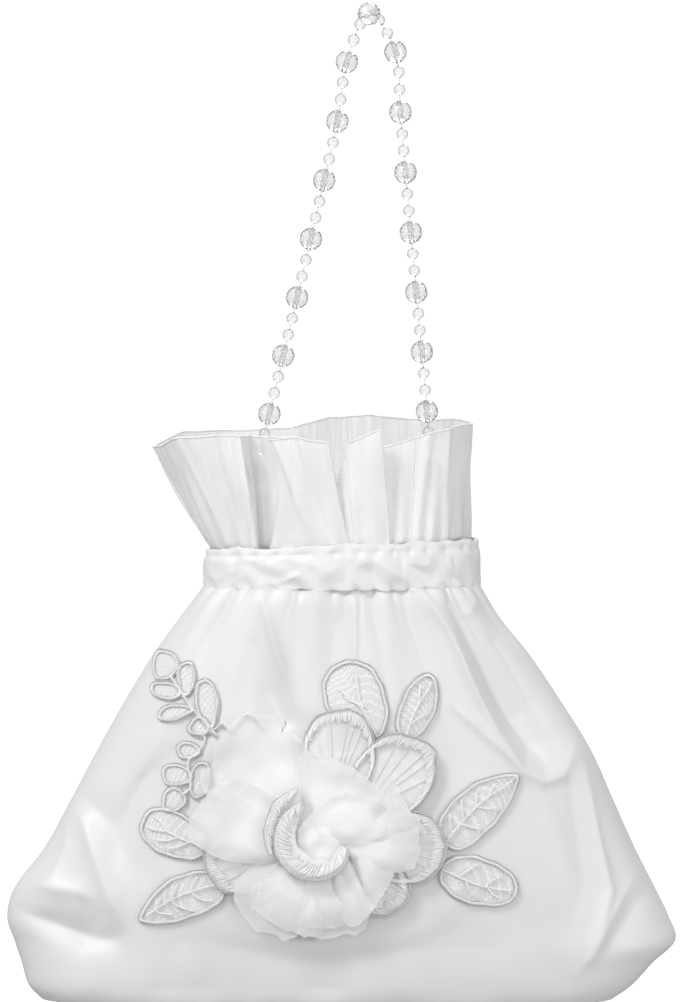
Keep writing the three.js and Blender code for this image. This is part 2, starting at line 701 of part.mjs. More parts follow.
function roseCoil() {
  const row = (side, level) =>
    Array.from({ length: coilSteps + 1 }, (_, i) => {
      const share = i / coilSteps;
      const angle = -2 * Math.PI * (coilStart + share * coilTurns);
      const radius = coilRadius + coilGrowth * share ** 1.5 + (side * coilThickness) / 2 + level * coilFlare;
      const lift = petalLift * (radius / roseRadius) ** 2;
      const height = coilLow + lift + level * coilHeight;
      return onSatin(coilAcross + radius * Math.cos(angle), radius * Math.sin(angle), height);
    });
  const wall = (side) => [row(side, 0), row(side, 1)];
  return wallOf(wall(1), wall(-1), false);
}

function roseBud(sides) {
  const radius = coilRadius - coilThickness / 2 - budClearance;
  const profile = [
    [0, 0],
    [radius, 0],
    [radius, coilHeight * 0.35],
    [radius * 0.75, coilHeight * 0.8],
    [radius * 0.3, coilHeight],
    [0, coilHeight],
  ].map(([x, y]) => new THREE.Vector2(x, y));
  const bud = new THREE.LatheGeometry(profile, sides);
  bud.rotateX(Math.PI);
  return bud.translate(...onSatin(coilAcross, 0, coilLow).toArray());
}
add("rose_coil", roseCoil(), lace);
add("rose_bud", roseBud(14), chiffon);

export default handbag;
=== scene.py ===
# %% [markdown]
# # A satin bridal pouch
# The real object is a soft bag of white polyester satin. Its neck is gathered in a puffed casing, a
# sheer organza ruffle stands in the casing, and the handle is one string of clear faceted beads. On
# the front lies a lace rose: net leaves edged with silver cord, embroidered petals, loose chiffon
# petals and a coiled middle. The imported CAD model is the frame, and every piece is built onto it.

# %% Load the frame
import math
import random

import bmesh
import bpy
from mathutils import Matrix, Vector, noise
from mathutils.bvhtree import BVHTree


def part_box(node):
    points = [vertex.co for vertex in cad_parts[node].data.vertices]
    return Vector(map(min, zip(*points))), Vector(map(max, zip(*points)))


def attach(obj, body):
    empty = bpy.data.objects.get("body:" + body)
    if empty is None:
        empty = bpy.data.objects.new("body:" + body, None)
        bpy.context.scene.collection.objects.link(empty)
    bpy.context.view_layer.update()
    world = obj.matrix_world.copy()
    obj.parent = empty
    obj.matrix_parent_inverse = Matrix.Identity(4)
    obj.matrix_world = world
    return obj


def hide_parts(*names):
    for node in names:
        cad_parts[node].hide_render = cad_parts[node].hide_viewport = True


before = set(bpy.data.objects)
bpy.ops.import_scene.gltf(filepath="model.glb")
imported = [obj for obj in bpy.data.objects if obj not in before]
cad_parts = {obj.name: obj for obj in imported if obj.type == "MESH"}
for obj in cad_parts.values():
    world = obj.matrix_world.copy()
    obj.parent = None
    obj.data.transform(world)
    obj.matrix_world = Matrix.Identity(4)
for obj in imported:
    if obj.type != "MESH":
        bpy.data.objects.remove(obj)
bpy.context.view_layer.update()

# %% [markdown]
# ## Sizes
# Everything below is thought out in millimetres, as a maker would cut it, and turned to metres only
# when a point goes into a mesh. The main sizes repeat the CAD source's, so cloth lies on its solids.

# %% Sizes in millimetres
MM = 0.001
handle_drop = 194  # from the handle's peak to the gathers
peak_offset = 9  # how far the peak stands to the right of the bag's middle
pouch_height = 143.5
pouch_width = 234
base_depth = 56
belly = 15
neck_width = 96
neck_depth = 44
satin_wall = 1.6
casing_height = 13
ruffle_height = 45
rose_across = -6  # from the pouch's middle to the rose's
rose_up = 56.5  # from the base to the rose's middle
rose_radius = 46
motif_reach = 1.48 * rose_radius
gap = 0.3
gather_z = -handle_drop
base_z = gather_z - pouch_height
casing_top_z = gather_z + gap + casing_height
middle_x = -peak_offset
rose_x = middle_x + rose_across
rose_z = base_z + rose_up

# %% [markdown]
# ## Helpers
# Colours are read off as sRGB hex values, and one function turns them to the linear values that the
# shaders use. One more adds a node with its settings and links, and two finish materials and pieces.

# %% Colour and nodes
def linear(colour):
    """An sRGB hex colour as linear red, green, blue and alpha."""
    channels = [int(colour[i : i + 2], 16) / 255 for i in (1, 3, 5)]
    return [c / 12.92 if c <= 0.04045 else ((c + 0.055) / 1.055) ** 2.4 for c in channels] + [1.0]


def add_node(tree, kind, inputs=None, **settings):
    """Adds a node, gives it its settings, and sets or links its inputs."""
    made = tree.nodes.new(kind)
    for name, value in settings.items():
        setattr(made, name, value)
    for name, value in (inputs or {}).items():
        if isinstance(value, bpy.types.NodeSocket):
            tree.links.new(value, made.inputs[name])
        else:
            made.inputs[name].default_value = value
    return made


def new_material(name):
    """An empty node material, and its tree."""
    made = bpy.data.materials.new(name)
    made.use_nodes = True
    made.node_tree.nodes.clear()
    return made, made.node_tree


def close_material(tree, inputs):
    """Ends a material with the shader that its nodes feed."""
    shader = add_node(tree, "ShaderNodeBsdfPrincipled", inputs)
    add_node(tree, "ShaderNodeOutputMaterial", {"Surface": shader.outputs[0]})
    return shader


# %% Pieces
def sheet_mesh(columns, rows, place, joined=False):
    """A grid whose vertices go to place(u, v), with u and v from 0 to 1, in millimetres."""
    bm = bmesh.new()
    bm.loops.layers.uv.new("UVMap")
    bmesh.ops.create_grid(bm, x_segments=columns, y_segments=rows, size=0.5, calc_uvs=True)
    for vert in bm.verts:
        vert.co = place(vert.co.x + 0.5, vert.co.y + 0.5) * MM
    if joined:
        bmesh.ops.remove_doubles(bm, verts=bm.verts, dist=1e-7)
    return bm


def face_towards(bm, direction):
    """Turns a sheet over if it looks away from a direction on the whole."""
    bm.normal_update()
    if sum(face.normal.dot(direction) * face.calc_area() for face in bm.faces) < 0:
        bmesh.ops.reverse_faces(bm, faces=bm.faces)


def loose_mesh(name, bm):
    """A mesh that isn't a piece yet, for joining with others."""
    mesh = bpy.data.meshes.new(name)
    bm.to_mesh(mesh)
    bm.free()
    return mesh


def piece(name, bm, material, smooth=True, replaces=()):
    """A finished mesh as a piece that rides on the bag."""
    mesh = bpy.data.meshes.new(name)
    for face in bm.faces:
        face.smooth = smooth
    bm.to_mesh(mesh)
    made = bpy.data.objects.new(name, mesh)
    bpy.context.scene.collection.objects.link(made)
    mesh.materials.append(material)
    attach(made, "root")
    if replaces:
        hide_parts(*replaces)
    print(f"{name}: {sum(len(face.verts) - 2 for face in bm.faces)} triangles")
    bm.free()
    return made


# %% [markdown]
# ## Studio
# The photo is taken straight on through a long lens, on white. The camera therefore stands well
# back and a little above, and its lens is worked out from the height that the picture holds.

# %% Camera
picture_width, picture_height = 680, 1002  # pixels
mm_per_pixel = 0.348
peak_pixel_x, peak_pixel_y = 368, 27  # where the origin lies in the picture
camera_distance = 1800
camera_elevation = math.radians(3)
sensor = 36
aim = Vector((
    (picture_width / 2 - peak_pixel_x) * mm_per_pixel, 0, (peak_pixel_y - picture_height / 2) * mm_per_pixel,
))
back = Vector((0, -math.cos(camera_elevation), math.sin(camera_elevation)))
camera = bpy.data.objects.new("camera", bpy.data.cameras.new("camera"))
camera.data.sensor_width = sensor
camera.data.lens = sensor * camera_distance / (picture_height * mm_per_pixel)
camera.data.clip_end = 20
camera.location = (aim + back * camera_distance) * MM
camera.rotation_euler = (-back).to_track_quat("-Z", "Y").to_euler()
bpy.context.scene.collection.objects.link(camera)
bpy.context.scene.camera = camera
print("lens", round(camera.data.lens, 1), "mm")

# %% [markdown]
# White satin on white needs a bright ground and modest light on the bag itself. The world is white
# where the camera sees it, and for the light it gives it is brighter above than below, which leaves
# the soft grey that the real bag has under its belly. Rays through the clear beads see a white field
# behind and grey round it, so that their rims and facets show. The key light is large and soft and
# stands at the upper left. Four weaker ones, low at both sides, in front and behind, open the shadows.

# %% World, floor and lights
def studio_world():
    """A pale surround that is brightest overhead."""
    world = bpy.data.worlds.new("pale_studio")
    bpy.context.scene.world = world
    world.use_nodes = True
    tree = world.node_tree
    tree.nodes.clear()
    where = add_node(tree, "ShaderNodeTexCoord")
    height = add_node(tree, "ShaderNodeSeparateXYZ", {0: where.outputs["Generated"]})
    ramp = add_node(tree, "ShaderNodeValToRGB", {0: add_node(
        tree, "ShaderNodeMapRange", {"Value": height.outputs["Z"], "From Min": -1.0, "From Max": 1.0}
    ).outputs[0]})
    ramp.color_ramp.elements[0].position = 0.3
    ramp.color_ramp.elements[0].color = (0.8, 0.8, 0.805, 1)
    ramp.color_ramp.elements[1].position = 0.8
    ramp.color_ramp.elements[1].color = (0.97, 0.97, 0.975, 1)
    light = add_node(tree, "ShaderNodeBackground", {"Color": ramp.outputs[0], "Strength": 0.52})
    seen = add_node(tree, "ShaderNodeBackground", {"Color": linear("#FFFFFF"), "Strength": 1.05})
    field = add_node(tree, "ShaderNodeBackground", {"Color": linear("#FFFFFF"), "Strength": add_node(
        tree, "ShaderNodeMapRange",
        {"Value": height.outputs["Y"], "From Min": 0.4, "From Max": 0.82, "To Min": 0.38, "To Max": 1.05},
    ).outputs[0]})
    path = add_node(tree, "ShaderNodeLightPath")
    plain = add_node(tree, "ShaderNodeMixShader", {
        0: path.outputs["Is Camera Ray"], 1: light.outputs[0], 2: seen.outputs[0],
    })
    mixed = add_node(tree, "ShaderNodeMixShader", {
        0: path.outputs["Is Transmission Ray"], 1: plain.outputs[0], 2: field.outputs[0],
    })
    add_node(tree, "ShaderNodeOutputWorld", {"Surface": mixed.outputs[0]})


def soft_light(name, place, size, power):
    """A square soft light in millimetres that looks at the middle of the bag."""
    light = bpy.data.lights.new(name, "AREA")
    light.shape = "SQUARE"
    light.size = size * MM
    light.energy = power
    made = bpy.data.objects.new(name, light)
    made.location = Vector(place) * MM
    target = Vector((middle_x, 0, base_z / 2 + gather_z / 2)) * MM
    made.rotation_euler = (target - made.location).to_track_quat("-Z", "Y").to_euler()
    bpy.context.scene.collection.objects.link(made)


studio_world()
soft_light("key", (-800, -800, 900), 420, 11.2)
soft_light("fill", (1100, -900, -250), 700, 5.4)
soft_light("low_left", (-1100, -900, -250), 400, 1)
soft_light("front_light", (-100, -1700, 250), 700, 4)
soft_light("back_light", (200, 900, 800), 600, 6)

bpy.context.scene.view_settings.view_transform = "Standard"

floor_paper, tree = new_material("pale_paper")
close_material(tree, {
    "Base Color": linear("#E8E8E8"),
    "Roughness": 0.9,
    "Emission Color": linear("#FFFFFF"),
    "Emission Strength": 0.72,
})
bm = bmesh.new()
bmesh.ops.create_grid(bm, x_segments=1, y_segments=1, size=3)
bmesh.ops.translate(bm, verts=bm.verts, vec=(0, 0, (base_z - 2 * gap) * MM))
floor = bpy.data.objects.new("floor", loose_mesh("floor", bm))
floor.data.materials.append(floor_paper)
bpy.context.scene.collection.objects.link(floor)
floor.visible_diffuse = False
floor.visible_glossy = False
floor.visible_transmission = False

# %% [markdown]
# ## Satin
# Bridal satin is polyester: long smooth floats of thread over a dull ground. It gives a broad, soft
# shine that follows every fold, so the shader is moderately rough, a little anisotropic, and has a
# trace of sheen. The threads are about 0.1 mm apart, too fine for the picture, so the slubs are
# drawn six times as coarse. A slow noise adds the small dents that pressing leaves in the cloth.

# %% The satin material
def satin_material(name, colour, flat, roughness=0.44):
    """Polyester satin whose threads follow the cloth. flat is the cloth's size in millimetres."""
    made, tree = new_material(name)
    cloth = add_node(tree, "ShaderNodeUVMap", uv_map="UVMap")
    thread = 0.6
    along = add_node(
        tree,
        "ShaderNodeMapping",
        {"Vector": cloth.outputs[0], "Scale": (flat[0] / thread, flat[1] / (thread * 12), 1)},
    )
    slubs = add_node(
        tree, "ShaderNodeTexNoise", {"Vector": along.outputs[0], "Scale": 1.0, "Detail": 2.0, "Roughness": 0.6}
    )
    place = add_node(tree, "ShaderNodeTexCoord")
    dents = add_node(
        tree, "ShaderNodeTexNoise", {"Vector": place.outputs["Object"], "Scale": 1 / (14 * MM), "Detail": 1.5}
    )
    shade = add_node(
        tree, "ShaderNodeTexNoise", {"Vector": place.outputs["Object"], "Scale": 1 / (60 * MM), "Detail": 2.0}
    )
    tint = add_node(tree, "ShaderNodeMix", {"Factor": shade.outputs[0]}, data_type="RGBA")
    tint.inputs[6].default_value = linear(colour)
    tint.inputs[7].default_value = [0.965 * c for c in linear(colour)[:3]] + [1.0]
    rough = add_node(
        tree,
        "ShaderNodeMapRange",
        {"Value": slubs.outputs[0], "From Min": 0.25, "From Max": 0.75, "To Min": roughness - 0.05,
         "To Max": roughness + 0.05},
    )
    low = add_node(tree, "ShaderNodeBump", {"Strength": 0.5, "Distance": 0.35 * MM, "Height": dents.outputs[0]})
    bump = add_node(
        tree,
        "ShaderNodeBump",
        {"Strength": 0.6, "Distance": 0.05 * MM, "Height": slubs.outputs[0], "Normal": low.outputs[0]},
    )
    close_material(
        tree,
        {
            "Base Color": tint.outputs[2],
            "Roughness": rough.outputs[0],
            "IOR": 1.5,
            "Anisotropic": 0.35,
            "Sheen Weight": 0.1,
            "Sheen Roughness": 0.4,
            "Normal": bump.outputs[0],
        },
    )
    return made


satin = satin_material("polyester_satin", "#EBEBEA", (250, 165))

# %% [markdown]
# ## The pouch
# Two satin panels are sewn at the sides and to a flat base. Each is a grid of cloth that wraps a
# squared oval section, wide at the two side corners and narrow at the neck. The table repeats the
# CAD source's sections, and a smooth curve runs through its rows.

# %% The pouch's sections
sections = [
    {"up": 0, "left": 0.83, "right": 0.68},
    {"up": 0.03, "left": 0.89, "right": 0.77},
    {"up": 0.085, "left": 0.927, "right": 0.88},
    {"up": 0.135, "left": 0.963, "right": 0.99},
    {"up": 0.19, "left": 1, "right": 0.96},
    {"up": 0.26, "left": 0.965, "right": 0.89},
    {"up": 0.36, "left": 0.81, "right": 0.785},
    {"up": 0.48, "left": 0.673, "right": 0.673},
    {"up": 0.6, "left": 0.54, "right": 0.56},
    {"up": 0.72, "left": 0.4, "right": 0.405},
    {"up": 0.83, "left": 0.26, "right": 0.25},
    {"up": 0.92, "left": 0.125, "right": 0.1},
    {"up": 1, "left": 0, "right": 0},
]


def smooth_between(rows, key, column, at):
    """A table's column at any place, on a smooth curve through its rows."""
    last = len(rows) - 1
    i = next((n for n in range(last) if rows[n + 1][key] >= at), last - 1)
    low, high = rows[i], rows[i + 1]
    run = high[key] - low[key]

    def slope(n):
        before, after = rows[max(0, n - 1)], rows[min(last, n + 1)]
        return (after[column] - before[column]) / (after[key] - before[key]) * run

    t = min(1, max(0, (at - low[key]) / run))
    t2, t3 = t * t, t * t * t
    ends = (2 * t3 - 3 * t2 + 1) * low[column] + (3 * t2 - 2 * t3) * high[column]
    return ends + (t3 - 2 * t2 + t) * slope(i) + (t3 - t2) * slope(i + 1)


def half_width_at(share, x):
    reach = smooth_between(sections, "up", "left" if x < 0 else "right", share)
    return (neck_width + (pouch_width - neck_width) * reach) / 2


def half_depth_at(share):
    straight = base_depth + (neck_depth - base_depth) * share
    return (straight + belly * math.sin(math.pi * max(0, share) ** 0.7)) / 2


def squareness_at(share):
    return 2.5 + 1.1 * math.exp(-((share / 0.12) ** 2))


# %% [markdown]
# Folds make the cloth. The long ones are read off the photo, one row each, in millimetres across
# from the pouch's middle and up from its base. Ridges are above 0 and dents below, and a sharp fold
# falls off quickly at its edge. Where a fold has a spread, its right side runs out that much wider.
# The gathers under the neck are rounded puffs with narrow valleys between, as a drawn thread leaves
# them, and they fade downwards at different rates.

# %% Folds
folds = [
    {"fold": "long ridge", "x": 27.1, "up": 145, "wide": 1.6, "deep": 1},
    {"fold": "long ridge", "x": 31, "up": 137, "wide": 1.8, "deep": 2},
    {"fold": "long ridge", "x": 36.9, "up": 128.2, "wide": 2, "deep": 2.6},
    {"fold": "long ridge", "x": 41.8, "up": 117.5, "wide": 2.1, "deep": 2.8},
    {"fold": "long ridge", "x": 46.6, "up": 106.8, "wide": 2.1, "deep": 2.8},
    {"fold": "long ridge", "x": 53.6, "up": 94, "wide": 2.1, "deep": 2.6},
    {"fold": "long ridge", "x": 62.3, "up": 81.2, "wide": 2.4, "deep": 2.1},
    {"fold": "long ridge", "x": 69.3, "up": 77.3, "wide": 2.6, "deep": 1.8},
    {"fold": "long ridge", "x": 76.2, "up": 79.3, "wide": 2.8, "deep": 1.6},
    {"fold": "long ridge", "x": 80.4, "up": 88, "wide": 3, "deep": 1.4},
    {"fold": "long ridge", "x": 80.4, "up": 96, "wide": 3, "deep": 0},
    {"fold": "pocket behind it", "x": 36, "up": 138, "wide": 2, "deep": -1.4, "spread": 2},
    {"fold": "pocket behind it", "x": 42, "up": 128, "wide": 2.6, "deep": -2.8, "spread": 2.6},
    {"fold": "pocket behind it", "x": 47.5, "up": 118.5, "wide": 3.2, "deep": -4.2, "spread": 3},
    {"fold": "pocket behind it", "x": 53, "up": 108, "wide": 3.8, "deep": -5.8, "spread": 3.2},
    {"fold": "pocket behind it", "x": 59.5, "up": 97.5, "wide": 4, "deep": -6.8, "spread": 3.2},
    {"fold": "pocket behind it", "x": 66, "up": 89, "wide": 4, "deep": -5.4, "spread": 2.6},
    {"fold": "pocket behind it", "x": 71.5, "up": 83, "wide": 3.4, "deep": -1.6, "spread": 1.5},
    {"fold": "inner ridge", "x": 36.9, "up": 104.7, "wide": 1.5, "deep": 0.4},
    {"fold": "inner ridge", "x": 43.8, "up": 98.8, "wide": 1.6, "deep": 1.4},
    {"fold": "inner ridge", "x": 49.8, "up": 92.9, "wide": 1.6, "deep": 1.5},
    {"fold": "inner ridge", "x": 61.2, "up": 82.1, "wide": 1.5, "deep": 0.3},
    {"fold": "side crease", "x": 81.4, "up": 89, "wide": 2, "deep": 0.6},
    {"fold": "side crease", "x": 83.9, "up": 81.1, "wide": 2, "deep": 1.2},
    {"fold": "side crease", "x": 87.7, "up": 60.6, "wide": 2, "deep": 1.5},
    {"fold": "side crease", "x": 92.6, "up": 39, "wide": 2.2, "deep": 1.7},
    {"fold": "side crease", "x": 87, "up": 17.7, "wide": 2.6, "deep": 1.3},
    {"fold": "side crease", "x": 79, "up": 9, "wide": 3, "deep": 0},
    {"fold": "before the side", "x": 77, "up": 84, "wide": 3, "deep": -0.5},
    {"fold": "before the side", "x": 81.5, "up": 62, "wide": 5, "deep": -1.6},
    {"fold": "before the side", "x": 84, "up": 42, "wide": 5, "deep": -1.4},
    {"fold": "before the side", "x": 78, "up": 24, "wide": 5, "deep": -0.5},
    {"fold": "low diagonal", "x": 88.5, "up": 21, "wide": 1.8, "deep": 0.6},
    {"fold": "low diagonal", "x": 95.7, "up": 35, "wide": 2, "deep": 1},
    {"fold": "low diagonal", "x": 104, "up": 47, "wide": 2, "deep": 0.5},
    {"fold": "low hollow", "x": 91, "up": 19, "wide": 2.5, "deep": -0.8},
    {"fold": "low hollow", "x": 101.6, "up": 33.4, "wide": 3.4, "deep": -1.2},
    {"fold": "low hollow", "x": 109, "up": 41, "wide": 3, "deep": -1},
    {"fold": "neck crease", "x": 6.3, "up": 141, "wide": 1.2, "deep": -1.2},
    {"fold": "neck crease", "x": 5.6, "up": 121, "wide": 1.2, "deep": 0},
    {"fold": "neck hollow", "x": 8.4, "up": 140, "wide": 2.6, "deep": -1.8},
    {"fold": "neck hollow", "x": 13, "up": 124, "wide": 3, "deep": 0},
    {"fold": "left streak", "x": -27, "up": 140, "wide": 1.6, "deep": 1},
    {"fold": "left streak", "x": -25.4, "up": 133, "wide": 1.6, "deep": 2.4},
    {"fold": "left streak", "x": -21, "up": 118, "wide": 1.7, "deep": 3},
    {"fold": "left streak", "x": -17, "up": 104, "wide": 2.4, "deep": 0.8},
    {"fold": "by the streak", "x": -29.5, "up": 124, "wide": 3, "deep": -1},
    {"fold": "by the streak", "x": -25.5, "up": 108, "wide": 3.6, "deep": -3},
    {"fold": "by the streak", "x": -20, "up": 98, "wide": 3.4, "deep": -2},
    {"fold": "neck streak", "x": 4.6, "up": 138, "wide": 1.3, "deep": 0.8},
    {"fold": "neck streak", "x": 4.4, "up": 126, "wide": 1.5, "deep": 1.6},
    {"fold": "neck streak", "x": 3.4, "up": 113, "wide": 1.8, "deep": 0.4},
    {"fold": "beside the neck streak", "x": -2, "up": 132, "wide": 3.4, "deep": -1},
    {"fold": "beside the neck streak", "x": -4, "up": 116, "wide": 4.4, "deep": -1.8},
    {"fold": "beside the neck streak", "x": -8, "up": 104, "wide": 4, "deep": 0},
    {"fold": "left hollow", "x": -60, "up": 86, "wide": 5, "deep": -0.6},
    {"fold": "left hollow", "x": -70, "up": 77, "wide": 6, "deep": -1.9},
    {"fold": "left hollow", "x": -76, "up": 66, "wide": 6, "deep": -1.6},
    {"fold": "left slope", "x": -50, "up": 118, "wide": 4.5, "deep": 0.5},
    {"fold": "left slope", "x": -58, "up": 98, "wide": 5.5, "deep": 1.6},
    {"fold": "left slope", "x": -70, "up": 80, "wide": 6, "deep": 1.2},
    {"fold": "left slope", "x": -80, "up": 72, "wide": 5, "deep": 0},
    {"fold": "tuck", "x": 37, "up": 144, "wide": 1.1, "deep": 0.5},
    {"fold": "tuck", "x": 38, "up": 137.5, "wide": 1.1, "deep": 0.6},
    {"fold": "tuck", "x": 40.4, "up": 134.4, "wide": 1.2, "deep": 0.6},
    {"fold": "tuck", "x": 43.4, "up": 134.6, "wide": 1.2, "deep": 0.55},
    {"fold": "tuck", "x": 45.4, "up": 138, "wide": 1.1, "deep": 0.4},
    {"fold": "tuck", "x": 45.4, "up": 142, "wide": 1.1, "deep": 0},
    {"fold": "left ridge", "x": -94, "up": 68, "wide": 2.6, "deep": 0.6},
    {"fold": "left ridge", "x": -88.5, "up": 61, "wide": 3.2, "deep": 2},
    {"fold": "left ridge", "x": -84, "up": 50, "wide": 3.6, "deep": 2.6},
    {"fold": "left ridge", "x": -79.5, "up": 36, "wide": 3.8, "deep": 2.4},
    {"fold": "left ridge", "x": -73.8, "up": 24, "wide": 4, "deep": 0.4},
    {"fold": "above the ridge", "x": -90, "up": 71, "wide": 5, "deep": -1.2},
    {"fold": "above the ridge", "x": -80, "up": 61, "wide": 6, "deep": -2.2},
    {"fold": "above the ridge", "x": -73, "up": 48, "wide": 6, "deep": -1.2},
    {"fold": "corner dent", "x": -113, "up": 31.5, "wide": 2, "deep": -1, "spread": 1.4},
    {"fold": "corner dent", "x": -99, "up": 26.5, "wide": 3.6, "deep": -4, "spread": 1.6},
    {"fold": "corner dent", "x": -89, "up": 23, "wide": 4.4, "deep": -5, "spread": 1.8},
    {"fold": "corner dent", "x": -80, "up": 22.5, "wide": 4, "deep": -2.4, "spread": 1.5},
    {"fold": "corner dent", "x": -73, "up": 26, "wide": 3.4, "deep": 0, "spread": 1},
    {"fold": "above the dent", "x": -112, "up": 38.5, "wide": 2, "deep": 0.5},
    {"fold": "above the dent", "x": -102, "up": 40.5, "wide": 2.8, "deep": 1.6},
    {"fold": "above the dent", "x": -91, "up": 39, "wide": 3, "deep": 1.4},
    {"fold": "above the dent", "x": -84, "up": 36, "wide": 2.6, "deep": 0},
    {"fold": "thin crease", "x": -95.4, "up": 65.8, "wide": 1.5, "deep": 0.5},
    {"fold": "thin crease", "x": -95.4, "up": 53.2, "wide": 1.6, "deep": 1.2},
    {"fold": "thin crease", "x": -100, "up": 43.8, "wide": 1.8, "deep": 1.2},
    {"fold": "thin crease", "x": -108, "up": 37.5, "wide": 2, "deep": 0.4},
    {"fold": "slack under the rose", "x": 55, "up": 21, "wide": 12, "deep": -1},
    {"fold": "slack under the rose", "x": 0, "up": 19, "wide": 14, "deep": -2.2},
    {"fold": "slack under the rose", "x": -55, "up": 22, "wide": 12, "deep": -1},
]
fold_names = sorted({row["fold"] for row in folds})
print(len(fold_names), "folds")
fold_spans = {
    name: [(a, b) for a, b in zip(folds, folds[1:]) if a["fold"] == b["fold"] == name] for name in fold_names
}


def fold_at(x, up):
    """How far the satin stands out there for its long folds, in millimetres."""
    total = 0
    for name in fold_names:
        strongest = 0
        for a, b in fold_spans[name]:
            run_x, run_up = b["x"] - a["x"], b["up"] - a["up"]
            length = run_x * run_x + run_up * run_up
            along = max(0, min(1, ((x - a["x"]) * run_x + (up - a["up"]) * run_up) / length))
            wide = a["wide"] + (b["wide"] - a["wide"]) * along
            off_x, off_up = x - a["x"] - along * run_x, up - a["up"] - along * run_up
            far = math.hypot(off_x, off_up)
            beside = (run_x * off_up - run_up * off_x) / (math.sqrt(length) * far) if far else 0
            spread = a.get("spread", 1) + (b.get("spread", 1) - a.get("spread", 1)) * along
            away = far / (wide * (1 + (spread - 1) * max(0, beside)))
            if away < 3:
                push = (a["deep"] + (b["deep"] - a["deep"]) * along) * math.exp(-(away ** 1.4))
                strongest = max(strongest, push, key=abs)
        total += strongest
    return total


fine_puffs, broad_puffs = 17, 8  # how many small and large gathers lie on one panel
back_fullness = 1.35  # how much fuller the back is gathered than the front


def puffs(across, side, count):
    """Rounded gathers with narrow valleys between, from about -1 to 1."""
    phase = across * count * math.pi / 2
    phase += 1.6 * math.sin(4.1 * across + side)
    phase += 0.7 * math.sin(9.7 * across + 2 * side)
    return 2 * abs(math.sin(phase)) ** 0.75 - 1.1


def gather_at(side, across, share):
    """How far the gathers push the satin out, strongest at the drawn neck."""
    below = (1 - share) * pouch_height
    fine = (0.9 + 1.6 * noise.noise((across * 4.3, side, 8))) * puffs(across, side, fine_puffs)
    fine *= math.exp(-below / (5 + 4 * noise.noise((across * 5, side, 1))))
    reach = 24 + 18 * noise.noise((across * 3, side * 2, 5))
    broad = (1.2 + 1.6 * noise.noise((across * 3.7, side, 12))) * puffs(across + 0.1, side, broad_puffs)
    broad *= math.exp(-((below / reach) ** 1.3))
    pinch = -1.3 * math.exp(-((below / 3) ** 2))
    return fine + broad + pinch


def looseness_at(x, up):
    """How freely the front creases: the stiff lace holds the satin smooth under the motif."""
    away = math.hypot((x - rose_across) / (0.91 * motif_reach), (up - rose_up) / (0.59 * motif_reach))
    t = max(0, min(1, (away - 0.85) / 0.2))
    return t * t * (3 - 2 * t)


def slack_at(x, up, side):
    """Slow waves of slack cloth, drawn out along lines that run from the neck."""
    wide = 48 + (1 - up / pouch_height) * 69
    fan = x / wide
    slow = noise.noise((fan * 3.1, up / 62, 3 * side))
    quick = noise.noise((fan * 9, up / 34, 7 * side))
    return 2.0 * slow + 0.9 * quick


def panel_point(side, across, share, inset=0.0):
    """A point of the pouch's cloth. side is -1 at the front, across runs from seam to seam."""
    power = squareness_at(share)
    x = math.sin(math.pi / 2 * across)
    width, depth = half_width_at(share, x), half_depth_at(share)
    y = max(0, 1 - abs(x) ** power) ** (1 / power)
    out = Vector((math.copysign(abs(x) ** (power - 1), x) / width, y ** (power - 1) / depth)).normalized()
    seam = min(1, (1 - abs(x)) / 0.125)
    up = share * pouch_height
    loose = looseness_at(x * width, up) if side < 0 else 1
    long_folds = fold_at(x * width, up) if side < 0 else 0
    hem = min(1, up / 6)
    push = gather_at(side, across, share) * seam * (back_fullness if side > 0 else 1)
    push += (long_folds + slack_at(x * width, up, side)) * (0.12 + 0.88 * loose) * seam * hem
    push -= inset
    return Vector((
        middle_x + x * width + out.x * push,
        side * (gap / 2 + max(0, y * depth + out.y * push)),
        base_z + up,
    ))


# %% [markdown]
# The panels are made as one sheet each and given their wall by Solidify, so the inside shows satin
# too. The lowest rows roll under to the base, which is a soft edge and not a cut one.

# %% Front and back panels
hem_roll = 2.2  # how far the cloth rolls under at the base


def panel_place(side):
    def place(u, v):
        rows_below = 0.03
        share = (v - rows_below) / (1 - rows_below)
        if share >= 0:
            return panel_point(side, 2 * u - 1, share)
        turn = share / rows_below * (1 - rows_below) * math.pi / 2
        point = panel_point(side, 2 * u - 1, 0, hem_roll * (1 - math.cos(turn)))
        return point + Vector((0, 0, 0.4 * math.sin(turn)))
    return place


panels = {}
for side, name, columns, rows in ((-1, "pouch_front", 270, 165), (1, "pouch_back", 130, 90)):
    bm = sheet_mesh(columns, rows, panel_place(side))
    face_towards(bm, Vector((0, side, 0)))
    panels[name] = BVHTree.FromBMesh(bm)
    panel = piece(name + "_satin", bm, satin, replaces=[name])
    wall = panel.modifiers.new("wall", "SOLIDIFY")
    wall.thickness = 1.0 * MM
    wall.offset = -1

# %% [markdown]
# The base is a flat panel that the CAD model already has at its true shape, so it only gets satin.
# Its mesh has no UV map of its own, and its threads therefore run along its Object coordinates.

